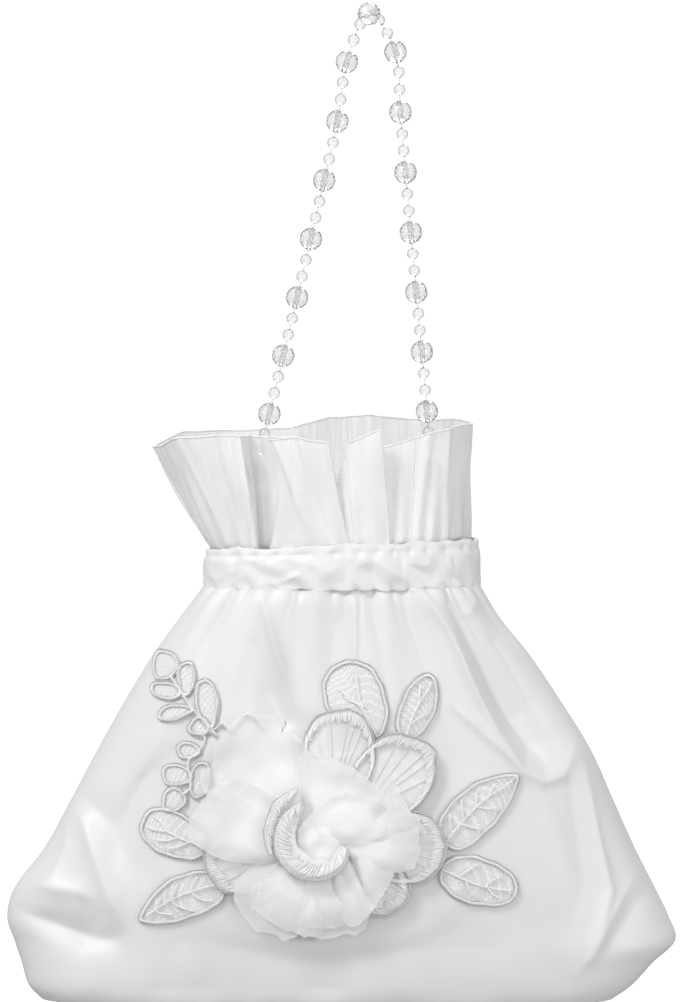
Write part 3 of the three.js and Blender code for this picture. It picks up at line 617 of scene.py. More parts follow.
# %% The base panel
def base_satin_material():
    made, tree = new_material("base_satin")
    place = add_node(tree, "ShaderNodeTexCoord")
    grain = add_node(tree, "ShaderNodeTexNoise", {
        "Vector": add_node(tree, "ShaderNodeMapping", {
            "Vector": place.outputs["Object"], "Scale": (1 / (0.3 * MM), 1 / (4 * MM), 1),
        }).outputs[0], "Scale": 1.0, "Detail": 2.0,
    })
    bump = add_node(
        tree, "ShaderNodeBump", {"Strength": 0.3, "Distance": 0.03 * MM, "Height": grain.outputs[0]}
    )
    tint = add_node(tree, "ShaderNodeMix", {"Factor": grain.outputs[0]}, data_type="RGBA")
    tint.inputs[6].default_value = linear("#EEEEEC")
    tint.inputs[7].default_value = linear("#E8E8E6")
    close_material(tree, {"Base Color": tint.outputs[2], "Roughness": 0.4, "Normal": bump.outputs[0]})
    return made


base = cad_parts["pouch_base"]
base.data.materials.clear()
base.data.materials.append(base_satin_material())

# %% [markdown]
# ## The casing
# Above the gathers the satin is doubled into a casing for the drawn thread. It puffs out between its
# two lines of stitches and breaks into uneven tucks. It is one ring of cloth: its lower edge meets the
# pouch where both are pinched, and its upper edge turns in to the ruffle as a narrow frill.

# %% The casing
def ring_point(turn, out, z):
    """A point round the neck. turn runs from the left side along the front."""
    angle = math.pi + 2 * math.pi * turn
    return Vector((
        middle_x + math.cos(angle) * (neck_width / 2 + out),
        math.sin(angle) * (neck_depth / 2 + out),
        z,
    ))


casing_tilt = 1.9  # how much higher its upper edge is at the right end than in the middle


def casing_place(u, v):
    angle = math.pi + 2 * math.pi * u
    side = -1 if math.sin(angle) < 0 else 1
    across = math.asin(max(-1, min(1, math.cos(angle)))) / (math.pi / 2)
    around = Vector((math.cos(angle), math.sin(angle), 0))
    seam = min(1, (1 - abs(math.cos(angle))) / 0.06)
    tucks = puffs(across + 0.012 * math.sin(5 * v), side, fine_puffs) * seam
    broad = puffs(across + 0.1, side, broad_puffs) * seam
    slant = noise.noise(around * 4.4 + Vector((v * 1.3, 5 - v * 1.1, v)))
    crease = 0.5 - abs(noise.noise(around * 5 + Vector((3, v * 1.3, v * 1.6)))) * 2.4
    band = 0.82  # the share of the casing's height below its upper line of stitches
    rise = math.sin(math.pi * v / band) if v < band else 0
    frill = max(0, v - band) / (1 - band)
    stitched = math.exp(-((v / 0.13) ** 2)) + math.exp(-(((v - band) / 0.09) ** 2))
    swell = 0.7 * rise ** 0.6 + 0.55 * tucks * stitched + 0.35 * broad * (1 - frill)
    swell += (1.1 * slant + 0.8 * crease) * rise ** 0.7
    edge_on = 1 - 0.75 * abs(math.cos(angle)) ** 6
    out = 0.25 * (1 - v) + swell * edge_on - 0.55 * math.exp(-(((v - band) / 0.07) ** 2)) - 0.7 * frill
    out += 0.9 * frill * noise.noise(around * 8)
    scallop = (0.7 * noise.noise(around * 7) - 0.4 * tucks) * (1 - v) ** 3
    wavy = (1.5 * noise.noise(around * 4.5) + 0.5 * noise.noise(around * 15)) * frill
    z = gather_z - 0.7 + scallop + (casing_height + 2.2) * v + casing_tilt * math.cos(angle) * v + wavy
    return ring_point(u, out, z)


bm = sheet_mesh(460, 34, casing_place, joined=True)
for face in bm.faces:
    face.normal_update()
middle = Vector((middle_x, 0, gather_z + casing_height / 2)) * MM
if sum(f.normal.dot(f.calc_center_median() - middle) for f in bm.faces) < 0:
    bmesh.ops.reverse_faces(bm, faces=bm.faces)
# Painted light: the casing is the same satin as the pouch, given a whiter colour for the brighter light that
# its puffed front catches.
casing_satin = satin_material("casing_satin", "#F1F1F0", (250, 16), roughness=0.38)
casing = piece("neck_casing_satin", bm, casing_satin, replaces=["neck_casing"])
wall = casing.modifiers.new("wall", "SOLIDIFY")
wall.thickness = 1.0 * MM
wall.offset = -1

# %% [markdown]
# ## Organza
# Organza is a plain weave of fine, stiff, twisted threads with gaps between them, so it is sheer
# where one layer shows and pale where folds lie on each other. The weave drives the alpha, and two
# layers show a slow moire, as the real cloth does. Its threads are about 0.25 mm apart and are drawn at
# 0.7 mm, the finest that the picture can hold. Stray thickness comes from a noise drawn out along them.

# %% The organza material
def organza_material(name, flat, low, high):
    """Sheer organza. low and high are its least and most cover, and flat its size in millimetres."""
    made, tree = new_material(name)
    cloth = add_node(tree, "ShaderNodeUVMap", uv_map="UVMap")
    place = add_node(tree, "ShaderNodeTexCoord")
    parts = add_node(tree, "ShaderNodeSeparateXYZ", {0: cloth.outputs[0]})
    lines = []
    for axis, size, spacing, strength in (("X", flat[0], 0.8, 1.0), ("Y", flat[1], 0.7, 0.4)):
        phase = add_node(
            tree,
            "ShaderNodeMath",
            {0: parts.outputs[axis], 1: 2 * math.pi * size / spacing},
            operation="MULTIPLY",
        )
        wave = add_node(tree, "ShaderNodeMath", {0: phase.outputs[0]}, operation="SINE")
        drawn = add_node(tree, "ShaderNodeMath", {0: wave.outputs[0], 1: strength}, operation="MULTIPLY")
        lines.append(drawn.outputs[0])
    slub = add_node(tree, "ShaderNodeTexNoise", {
        "Vector": add_node(tree, "ShaderNodeMapping", {
            "Vector": cloth.outputs[0], "Scale": (flat[0] / 2.2, flat[1] / 20, 1),
        }).outputs[0], "Scale": 1.0, "Detail": 2.0,
    })
    patch = add_node(
        tree, "ShaderNodeTexNoise", {"Vector": place.outputs["Object"], "Scale": 1 / (13 * MM), "Detail": 1.0}
    )
    weave = add_node(tree, "ShaderNodeMath", {0: lines[0], 1: lines[1]}, operation="MAXIMUM")
    strong = add_node(
        tree,
        "ShaderNodeMapRange",
        {"Value": patch.outputs[0], "From Min": 0.35, "From Max": 0.65, "To Min": 0.15},
    )
    uneven = add_node(tree, "ShaderNodeMath", {0: weave.outputs[0], 1: strong.outputs[0]}, operation="MULTIPLY")
    cover = add_node(
        tree,
        "ShaderNodeMapRange",
        {"Value": uneven.outputs[0], "From Min": -0.8, "From Max": 0.8, "To Min": low, "To Max": high},
    )
    bump = add_node(
        tree, "ShaderNodeBump", {"Strength": 0.6, "Distance": 0.12 * MM, "Height": uneven.outputs[0]}
    )
    # Painted shade: layers that lie further back in the ruffle, by their Object Y, are tinted grey here and
    # also let a little more through.
    depth = add_node(tree, "ShaderNodeSeparateXYZ", {0: place.outputs["Object"]})
    far = add_node(
        tree, "ShaderNodeMapRange", {"Value": depth.outputs["Y"], "From Min": -17 * MM, "From Max": 3 * MM}
    )
    alpha = add_node(
        tree, "ShaderNodeMath", {0: far.outputs[0], 1: -0.22, 2: cover.outputs[0]}, operation="MULTIPLY_ADD"
    )
    # The painted shade runs from white at the front layers to grey at the back ones.
    shade = add_node(tree, "ShaderNodeMix", {"Factor": far.outputs[0]}, data_type="RGBA")
    shade.inputs[6].default_value = linear("#FFFFFF")
    shade.inputs[7].default_value = linear("#B2B8B7")
    tint = add_node(tree, "ShaderNodeMix", {"Factor": slub.outputs[0], 6: shade.outputs[2]}, data_type="RGBA")
    tint.inputs[7].default_value = linear("#FFFFFF")
    close_material(
        tree,
        {
            "Base Color": tint.outputs[2],
            "Alpha": alpha.outputs[0],
            "Roughness": 0.5,
            "Sheen Weight": 0.5,
            "Normal": bump.outputs[0],
        },
    )
    return made


# %% [markdown]
# The ruffle is one long strip, joined in a ring and sewn into the casing. The table gives its top edge
# turn by turn, as in the CAD source; where a row runs back to the left, one pleat lies behind the next.
# Small flutes start at the stitching and open out upwards.

# %% The ruffle
ruffle_turns = [
    {"across": -1.37, "front": 0, "rise": 0.77, "foot": -0.99},
    {"across": -1.22, "front": 0.42, "rise": 0.83, "foot": -0.95},
    {"across": -0.95, "front": 0.56, "rise": 0.87, "foot": -0.8},
    {"across": -0.73, "front": 0.66, "rise": 0.86, "foot": -0.66},
    {"across": -0.66, "front": 0.3, "rise": 0.86, "foot": -0.62},
    {"across": -0.34, "front": 0.34, "rise": 0.84, "foot": -0.4},
    {"across": -0.5, "front": 0.9, "rise": 0.84, "foot": -0.54, "bow": 2.8},
    {"across": -0.3, "front": 1.04, "rise": 0.86, "foot": -0.26},
    {"across": -0.1, "front": 1.02, "rise": 0.81, "foot": 0.06},
    {"across": -0.04, "front": 0.78, "rise": 0.5, "foot": -0.02},
    {"across": 0.04, "front": 0.86, "rise": 0.81, "foot": 0.1},
    {"across": 0.27, "front": 0.98, "rise": 0.92, "foot": 0.37},
    {"across": 0.22, "front": 0.72, "rise": 0.76, "foot": 0.28},
    {"across": 0.52, "front": 0.62, "rise": 0.85, "foot": 0.52},
    {"across": 0.78, "front": 0.52, "rise": 0.92, "foot": 0.77},
    {"across": 0.94, "front": 0, "rise": 0.96, "foot": 0.98},
    {"across": 0.8, "front": -0.62, "rise": 0.97, "foot": 0.8},
    {"across": 0.5, "front": -0.78, "rise": 0.97, "foot": 0.5},
    {"across": 0.2, "front": -0.7, "rise": 1, "foot": 0.2},
    {"across": -0.1, "front": -0.9, "rise": 0.98, "foot": -0.1},
    {"across": -0.38, "front": -0.8, "rise": 0.9, "foot": -0.4},
    {"across": -0.75, "front": -0.92, "rise": 0.88, "foot": -0.7},
    {"across": -1.16, "front": -0.6, "rise": 0.88, "foot": -0.93},
]


def spline(points, t, closed=False):
    """A smooth curve through points, at t from 0 to 1."""
    count = len(points)
    spans = count if closed else count - 1
    at = t * spans
    i = min(int(at), spans - 1)
    f = at - i
    a, b, c, d = (
        points[(i + k) % count] if closed else points[max(0, min(count - 1, i + k))] for k in (-1, 0, 1, 2)
    )
    square, cube = (2 * a - 5 * b + 4 * c - d) * f ** 2, (3 * b - a - 3 * c + d) * f ** 3
    return 0.5 * ((2 * b) + (c - a) * f + square + cube)


ruffle_edge = [
    Vector((t["across"] * neck_width / 2, -t["front"] * neck_depth / 2, t["rise"] * ruffle_height))
    for t in ruffle_turns
]
ruffle_feet = [Vector((t["foot"], t.get("bow", 0), 0)) for t in ruffle_turns]
ruffle_folds = [
    {"top": 1.1, "foot": 1.7, "wide": 0.1, "deep": 0.9},
    {"top": 2.1, "foot": 2.5, "wide": 0.12, "deep": -0.8},
    {"top": 2.6, "foot": 2.8, "wide": 0.1, "deep": 0.7},
    {"top": 6.05, "foot": 7.25, "wide": 0.13, "deep": 1.3},
    {"top": 6.75, "foot": 7.7, "wide": 0.12, "deep": -0.9},
    {"top": 10.3, "foot": 10.5, "wide": 0.14, "deep": 0.8},
    {"top": 13.4, "foot": 13.2, "wide": 0.14, "deep": 0.8},
    {"top": 14.2, "foot": 14, "wide": 0.12, "deep": -0.8},
]
ruffle_clear = 1
ruffle_tuck = 8
pressed = 0.82  # how flat the pleats are pressed, from 0 for round to 1 for sharp


def pleated(points, turn):
    """A point of the strip: straight between the pleats' edges, and a little rounded at them."""
    at = turn % 1 * len(points)
    i = int(at)
    straight = points[i].lerp(points[(i + 1) % len(points)], at - i)
    return spline(points, turn % 1, closed=True).lerp(straight, pressed)


def ruffle_point(turn, up):
    """A point of the ruffle. up is 0 at the casing's edge, 1 at the hem, and below 0 inside the casing."""
    edge = pleated(ruffle_edge, turn)
    inside = satin_wall + gap + 0.6
    half, deep = neck_width / 2 - inside, neck_depth / 2 - inside
    front = -edge.y / (neck_depth / 2)
    foot = pleated(ruffle_feet, turn)
    across = max(-0.999, min(0.999, foot.x))
    oval = math.sqrt(1 - across * across)
    layer = max(-1, min(1, front * 2.2)) * (0.84 + 0.16 * min(1, abs(front)))
    tilt = casing_tilt * across
    base = Vector((middle_x + across * half, -deep * oval * layer, casing_top_z + ruffle_clear + tilt))
    if up < 0:
        return base + Vector((0, 0, ruffle_tuck * up))
    top = Vector((middle_x + edge.x, edge.y, casing_top_z + edge.z))
    point = base.lerp(top, up ** 0.85)
    point.z = base.z + (top.z - base.z) * up
    point.x += foot.y * math.sin(math.pi * up)
    along = (pleated(ruffle_edge, turn + 0.003) - pleated(ruffle_edge, turn - 0.003)).normalized()
    out = Vector((along.y, -along.x, 0))
    flute = math.sin(2 * math.pi * 41 * turn + 2.5 * math.sin(2 * math.pi * 5 * turn))
    small = 0.7 * flute * (1 - up) ** 1.5
    broad = 1.0 * noise.noise((turn * 40, up * 1.6, 2)) + 1.1 * noise.noise((turn * 13 + up * 1.5, up * 0.8, 6))
    hem = 0.35 * noise.noise((turn * 90, 0, 8)) * up ** 3
    row = turn % 1 * len(ruffle_turns)
    folded = 0
    for fold in ruffle_folds:
        line = fold["foot"] + (fold["top"] - fold["foot"]) * up
        folded += fold["deep"] * math.exp(-(((row - line) / fold["wide"]) ** 2))
    point += out * (small + (broad + folded) * min(1, up * 2) + hem)
    point.z += 0.7 * noise.noise((turn * 30, 4, up)) * up
    return point


organza = organza_material("sheer_organza", (430, 52), 0.62, 0.98)
bm = sheet_mesh(660, 30, lambda u, v: ruffle_point(u, v * 1.15 - 0.15), joined=True)
ruffle = piece("organza_ruffle_cloth", bm, organza, replaces=["organza_ruffle"])

# %% [markdown]
# ## The handle
# The handle is one clear nylon thread, with a large faceted bead, two small ones, and so on. The large
# beads are cast acrylic with cut facets. Each starts as a ball of rings; the rings at its poles become
# the mouths of the bore, every second ring is turned by half a facet, and the faces stay flat.

# %% Acrylic
def acrylic_material():
    """Clear cast acrylic: its IOR of 1.49 gives dark rims and bright facets."""
    made, tree = new_material("clear_acrylic")
    place = add_node(tree, "ShaderNodeTexCoord")
    haze = add_node(
        tree, "ShaderNodeTexNoise", {"Vector": place.outputs["Object"], "Scale": 1 / (2.4 * MM), "Detail": 2.0}
    )
    rough = add_node(tree, "ShaderNodeMapRange", {"Value": haze.outputs[0], "To Min": 0.0, "To Max": 0.03})
    tint = add_node(tree, "ShaderNodeMix", {"Factor": haze.outputs[0]}, data_type="RGBA")
    tint.inputs[6].default_value = linear("#FFFFFF")
    tint.inputs[7].default_value = linear("#EEF1F2")
    close_material(
        tree,
        {
            "Base Color": tint.outputs[2],
            "Roughness": rough.outputs[0],
            "IOR": 1.49,
            "Transmission Weight": 0.85,
        },
    )
    return made


acrylic = acrylic_material()

# %% Large beads
big_bead = 8
bead_bore = 1.5


def middle_of(node):
    low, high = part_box(node)
    return (low + high) / 2


bead_names = [f"handle_bead_{n:02d}" for n in range(1, 18)]
bead_middles = [middle_of(name) for name in bead_names]


def faceted_bead(place, axis):
    """A drilled ball of flat facets, on a thread that runs along axis."""
    bm = bmesh.new()
    radius = big_bead / 2
    bmesh.ops.create_uvsphere(bm, u_segments=12, v_segments=9, radius=radius)
    poles = [v for v in bm.verts if abs(abs(v.co.z) - radius) < 1e-5]
    bmesh.ops.delete(bm, geom=poles, context="VERTS")
    mouth = math.sqrt(radius ** 2 - bead_bore ** 2 / 4)  # how far the bore's mouths lie from the middle
    for vert in bm.verts:
        ring = round(math.acos(max(-1, min(1, vert.co.z / vert.co.length))) / math.pi * 9)
        if ring in (1, 8):
            flat = Vector((vert.co.x, vert.co.y)).normalized() * bead_bore / 2
            vert.co = Vector((flat.x, flat.y, math.copysign(mouth, vert.co.z)))
        if ring % 2:
            vert.co = Matrix.Rotation(math.pi / 12, 3, "Z") @ vert.co
    mouths = [edge for edge in bm.edges if edge.is_boundary]
    bmesh.ops.bridge_loops(bm, edges=mouths)
    bmesh.ops.triangulate(bm, faces=bm.faces)
    bmesh.ops.recalc_face_normals(bm, faces=bm.faces)
    turn = Vector((0, 0, 1)).rotation_difference(axis).to_matrix().to_4x4()
    bmesh.ops.transform(bm, verts=bm.verts, matrix=Matrix.Translation(place) @ turn @ Matrix.Scale(MM, 4))
    return bm


for n, name in enumerate(bead_names):
    axis = bead_middles[min(n + 1, 16)] - bead_middles[max(n - 1, 0)]
    piece(name + "_faceted", faceted_bead(bead_middles[n], axis.normalized()), acrylic,
          smooth=False, replaces=[name])

# %% [markdown]
# The small beads and the thread are one string, so they are one mesh: a tube along the string that
# swells to a ball at each small bead and is plain thread in between, also inside the large beads.

# %% Tubes
def tube_mesh(points, radii, sides=6, closed=False, across=Vector((0, 1, 0))):
    """A tube through points, with a radius at each, as a mesh to be joined with others."""
    count = len(points)
    axes = []
    for i in range(count):
        after = points[(i + 1) % count] if closed else points[min(i + 1, count - 1)]
        before = points[i - 1] if closed or i else points[0]
        along = (after - before).normalized()
        first = (across - along * across.dot(along)).normalized()
        axes.append((first, along.cross(first)))

    def place(u, v):
        i = round(u * (count if closed else count - 1)) % count
        turn = 2 * math.pi * v
        first, second = axes[i]
        return points[i] + (first * math.cos(turn) + second * math.sin(turn)) * radii[i]

    bm = sheet_mesh(count if closed else count - 1, sides, place, joined=True)
    if not closed:
        bmesh.ops.holes_fill(bm, edges=[e for e in bm.edges if e.is_boundary], sides=sides)
    bmesh.ops.recalc_face_normals(bm, faces=bm.faces)
    return loose_mesh("tube", bm)


def join_meshes(meshes, into=None):
    """Many small meshes as one, or added to one that is there already."""
    bm = into or bmesh.new()
    for mesh in meshes:
        bm.from_mesh(mesh)
        bpy.data.meshes.remove(mesh)
    return bm


# %% [markdown]
# The ruffle's hem is rolled over a fine thread, and where the strip is pressed back on itself its edge is
# doubled too. Both show as thin bright lines, so they are modelled as fine tubes that lie on the organza.

# %% Hem and pressed edges
def line_material(name, colour):
    """Rolled organza: several plies thick, so it hides what is behind it."""
    made, tree = new_material(name)
    place = add_node(tree, "ShaderNodeTexCoord")
    plies = add_node(
        tree, "ShaderNodeTexNoise", {"Vector": place.outputs["Object"], "Scale": 1 / (0.8 * MM), "Detail": 2.0}
    )
    tint = add_node(tree, "ShaderNodeMix", {"Factor": plies.outputs[0]}, data_type="RGBA")
    tint.inputs[6].default_value = linear(colour)
    tint.inputs[7].default_value = linear("#FFFFFF")
    close_material(tree, {"Base Color": tint.outputs[2], "Roughness": 0.5, "Sheen Weight": 0.4})
    return made


hem_steps = 700
hem = [ruffle_point(n / hem_steps, 1.0) for n in range(hem_steps)]
meshes = [tube_mesh(hem, [0.3] * hem_steps, sides=6, closed=True, across=Vector((0, 0, 1)))]
for row in (3, 6, 8, 10, 11, 13):
    fold_edge = [ruffle_point(row / len(ruffle_turns), n / 40) for n in range(41)]
    meshes.append(tube_mesh(fold_edge, [0.22] * 41, sides=5))
piece("organza_ruffle_hem", join_meshes(meshes), line_material("rolled_organza", "#F2F4F4"))

# %% Thread and small beads
small_bead = 4
thread = 0.5
strand_ends = [
    Vector((-0.885 * neck_width / 2, 0.52 * neck_depth / 2, -0.955 * handle_drop)),
    Vector((0.48 * neck_width / 2, 0.48 * neck_depth / 2, -0.95 * handle_drop)),
]
small_shares = (0.36, 0.64)  # where the two small beads sit between two large ones
string = [strand_ends[0], *[m / MM for m in bead_middles], strand_ends[1]]
spans = len(string) - 1
small_places = []
for n in range(1, spans - 1):
    for share in small_shares:
        small_places.append((n + share) / spans)
stops = []
steps = 90 * spans  # enough rings to round each small bead
for n in range(steps + 1):
    t = n / steps
    here = spline(string, t)
    near = min(small_places, key=lambda place: (spline(string, place) - here).length)
    away = (spline(string, near) - here).length / (small_bead / 2)
    stops.append((here, max(thread / 2, small_bead / 2 * math.sqrt(max(0, 1 - away * away)))))
mesh = tube_mesh([s[0] for s in stops], [s[1] for s in stops], sides=12)
piece("handle_strand_beads", join_meshes([mesh]), acrylic, replaces=["handle_strand"])

# %% [markdown]
# ## Where the lace lies
# The motif is laid on the satin, and the satin is no plane. A ray from the front finds the cloth at any
# place across and up from the rose's middle, and the piece is lifted from there along the cloth's normal.

# %% On the satin
satin_front = panels["pouch_front"]


def on_satin(across, up, height):
    """A point above the satin, in millimetres, at a place measured from the rose's middle."""
    start = Vector((rose_x + across, -400, rose_z + up)) * MM
    hit, normal, _, _ = satin_front.ray_cast(start, Vector((0, 1, 0)))
    if hit is None:
        hit, normal, _, _ = satin_front.find_nearest(Vector((rose_x + across, -20, rose_z + up)) * MM)
    if normal.y > 0:
        normal = -normal
    lean = Vector((normal.x, normal.y, 0)).normalized()
    return hit / MM + lean * height


def directions(degrees):
    """The way along a leaf or a petal that points at an angle, and the way aside from it."""
    turn = math.radians(degrees)
    return Vector((math.cos(turn), math.sin(turn))), Vector((-math.sin(turn), math.cos(turn)))


def resample(points, step, closed=False):
    """The same line with its points evenly spaced."""
    line = points + [points[0]] if closed else points
    lengths = [0]
    for a, b in zip(line, line[1:]):
        lengths.append(lengths[-1] + (b - a).length)
    count = max(3, round(lengths[-1] / step))
    made, i = [], 0
    for n in range(count if closed else count + 1):
        at = lengths[-1] * n / count
        while i < len(lengths) - 2 and lengths[i + 1] < at:
            i += 1
        run = lengths[i + 1] - lengths[i]
        made.append(line[i].lerp(line[i + 1], (at - lengths[i]) / run if run else 0))
    return made


# %% [markdown]
# ## Cord, thread and net
# The outlines are a two-ply cord of silver metallised thread, about 0.6 mm thick, so two real plies are
# twisted round each other. The stitches are white rayon, which is glossy and lies in padded bars. The
# ground of the leaves is tulle, a fine net, drawn with a 0.6 mm mesh.

# %% Materials of the lace
def thread_material(name, dark, light, roughness, metallic, twist):
    """Spun thread, whose twist shows as fine lines."""
    made, tree = new_material(name)
    place = add_node(tree, "ShaderNodeTexCoord")
    fibre = add_node(
        tree,
        "ShaderNodeTexNoise",
        {"Vector": place.outputs["Object"], "Scale": 1 / (twist * MM), "Detail": 2.0},
    )
    tint = add_node(tree, "ShaderNodeMix", {"Factor": fibre.outputs[0]}, data_type="RGBA")
    tint.inputs[6].default_value = linear(dark)
    tint.inputs[7].default_value = linear(light)
    bump = add_node(
        tree, "ShaderNodeBump", {"Strength": 0.6, "Distance": 0.08 * MM, "Height": fibre.outputs[0]}
    )
    close_material(
        tree,
        {
            "Base Color": tint.outputs[2],
            "Roughness": roughness,
            "Metallic": metallic,
            "Normal": bump.outputs[0],
        },
    )
    return made


silver_thread = thread_material("silver_metallised_thread", "#A0A2A5", "#F0F2F2", 0.36, 0.4, 0.5)
rayon_thread = thread_material("white_rayon_thread", "#F6F6F5", "#FFFFFF", 0.4, 0.0, 0.4)


def tulle_material(name, ground, mesh_size, cover):
    """Net on satin: a fine mesh over the cloth below, which it greys a little."""
    made, tree = new_material(name)
    place = add_node(tree, "ShaderNodeTexCoord")
    cells = add_node(
        tree,
        "ShaderNodeTexVoronoi",
        {"Vector": place.outputs["Object"], "Scale": 1 / (mesh_size * MM), "Randomness": 0.35},
        feature="DISTANCE_TO_EDGE",
    )
    lines = add_node(
        tree,
        "ShaderNodeMapRange",
        {"Value": cells.outputs["Distance"], "From Min": 0.03, "From Max": 0.22, "To Min": 1.0, "To Max": 0.0},
    )
    alpha = add_node(tree, "ShaderNodeMapRange", {"Value": lines.outputs[0], "To Min": cover, "To Max": 0.95})
    tint = add_node(tree, "ShaderNodeMix", {"Factor": lines.outputs[0]}, data_type="RGBA")
    tint.inputs[6].default_value = linear(ground)
    tint.inputs[7].default_value = linear("#F7F7F6")
    bump = add_node(
        tree, "ShaderNodeBump", {"Strength": 0.15, "Distance": 0.06 * MM, "Height": lines.outputs[0]}
    )
    close_material(
        tree,
        {"Base Color": tint.outputs[2], "Alpha": alpha.outputs[0], "Roughness": 0.6, "Normal": bump.outputs[0]},
    )
    return made


leaf_tulle = tulle_material("leaf_tulle", "#FDFDFD", 0.6, 0.5)


# %% Cord and stitches
def twisted_cord(line, thick, pitch, closed=False):
    """Two plies wound round a line, as meshes."""
    ply = thick * 0.29
    meshes = []
    for start in (0, math.pi):
        points, travelled = [], 0
        for i, here in enumerate(line):
            after = line[(i + 1) % len(line)] if closed or i + 1 < len(line) else line[i]
            before = line[i - 1] if closed or i else line[i]
            along = (after - before).normalized()
            front = (Vector((0, -1, 0)) + along * along.y).normalized()
            turn = 2 * math.pi * travelled / pitch + start
            points.append(here + (front * math.cos(turn) + along.cross(front) * math.sin(turn)) * thick * 0.23)
            travelled += (after - here).length
        meshes.append(tube_mesh(points, [ply] * len(points), sides=5, closed=closed))
    return meshes


def stitch(bm, start, end, thick, lift=0.4):
    """One padded stitch from start to end, a low ball of 20 faces drawn out along its run."""
    run = end - start
    turn = Vector((0, 0, 1)).rotation_difference(run.normalized()).to_matrix().to_4x4()
    size = Matrix.Diagonal((thick / 2, thick / 2, run.length / 2, 1))
    place = Matrix.Translation(((start + end) / 2 + Vector((0, -lift, 0))) * MM)
    bmesh.ops.create_icosphere(bm, subdivisions=1, radius=1, matrix=place @ Matrix.Scale(MM, 4) @ turn @ size)


# %% [markdown]
# ## Leaves
# Six leaves lie round the rose. The table places each stem in shares of the motif's reach and gives its
# direction, as in the CAD source. Each is a net ground, slightly domed. Its border is a band of short
# white stitches between two silver cords, and its veins are whipped thread. The veins differ from leaf
# to leaf, so a second table gives each from and to a place along the leaf and aside, with a bow between.

# %% Leaf outlines
leaf_length, leaf_width = 35, 17


def signed_power(value, power):
    return math.copysign(abs(value) ** power, value)


def leaf_half(leaf, share):
    """Half the leaf's width in millimetres, at a share of the way from its stem to its tip."""
    foot, tip = leaf["foot"], leaf["tip"]
    widest = foot / (foot + tip)
    fullest = widest ** foot * (1 - widest) ** tip
    return leaf["width"] * leaf_width / 2 * share ** foot * (1 - share) ** tip / fullest


def leaf_outline(leaf, count):
    """A leaf's edge in millimetres from the rose's middle, from the stem round the tip and back."""
    ahead, aside = directions(leaf["turn"])
    stem = Vector((leaf["across"], leaf["up"])) * motif_reach
    points = []
    for n in range(count):
        angle = 2 * math.pi * n / count
        share = (1 - math.cos(angle)) / 2
        half = leaf_half(leaf, share)
        half *= 1 + 0.025 * math.sin(5 * angle + leaf["turn"]) + 0.02 * math.sin(11 * angle)
        bend = leaf.get("bend", 0) * math.sin(math.pi * share)
        off = math.copysign(half, math.sin(angle)) + bend
        points.append(stem + ahead * leaf["length"] * leaf_length * share + aside * off)
    return points


leaves = [
    {"name": "leaf_top_round", "across": 0.27, "up": 0.53, "length": 0.83, "width": 1.22, "turn": 119,
     "foot": 0.6, "tip": 0.42},
    {"name": "leaf_top_oval", "across": 0.4, "up": 0.53, "length": 0.68, "width": 0.74, "turn": 67,
     "foot": 0.45, "tip": 0.5},
    {"name": "leaf_right_upper", "across": 0.6, "up": 0.0, "length": 1.0, "width": 0.98, "turn": 42,
     "foot": 0.42, "tip": 0.72, "bend": 1.2},
    {"name": "leaf_right_lower", "across": 0.58, "up": -0.13, "length": 0.8, "width": 0.98, "turn": -17,
     "foot": 0.42, "tip": 0.46},
    {"name": "leaf_left_upper", "across": -0.59, "up": -0.03, "length": 0.7, "width": 0.92, "turn": 156,
     "foot": 0.42, "tip": 0.34},
    {"name": "leaf_left_lower", "across": -0.5, "up": -0.19, "length": 0.94, "width": 0.92, "turn": 205,
     "foot": 0.46, "tip": 0.7, "bend": -1},
]


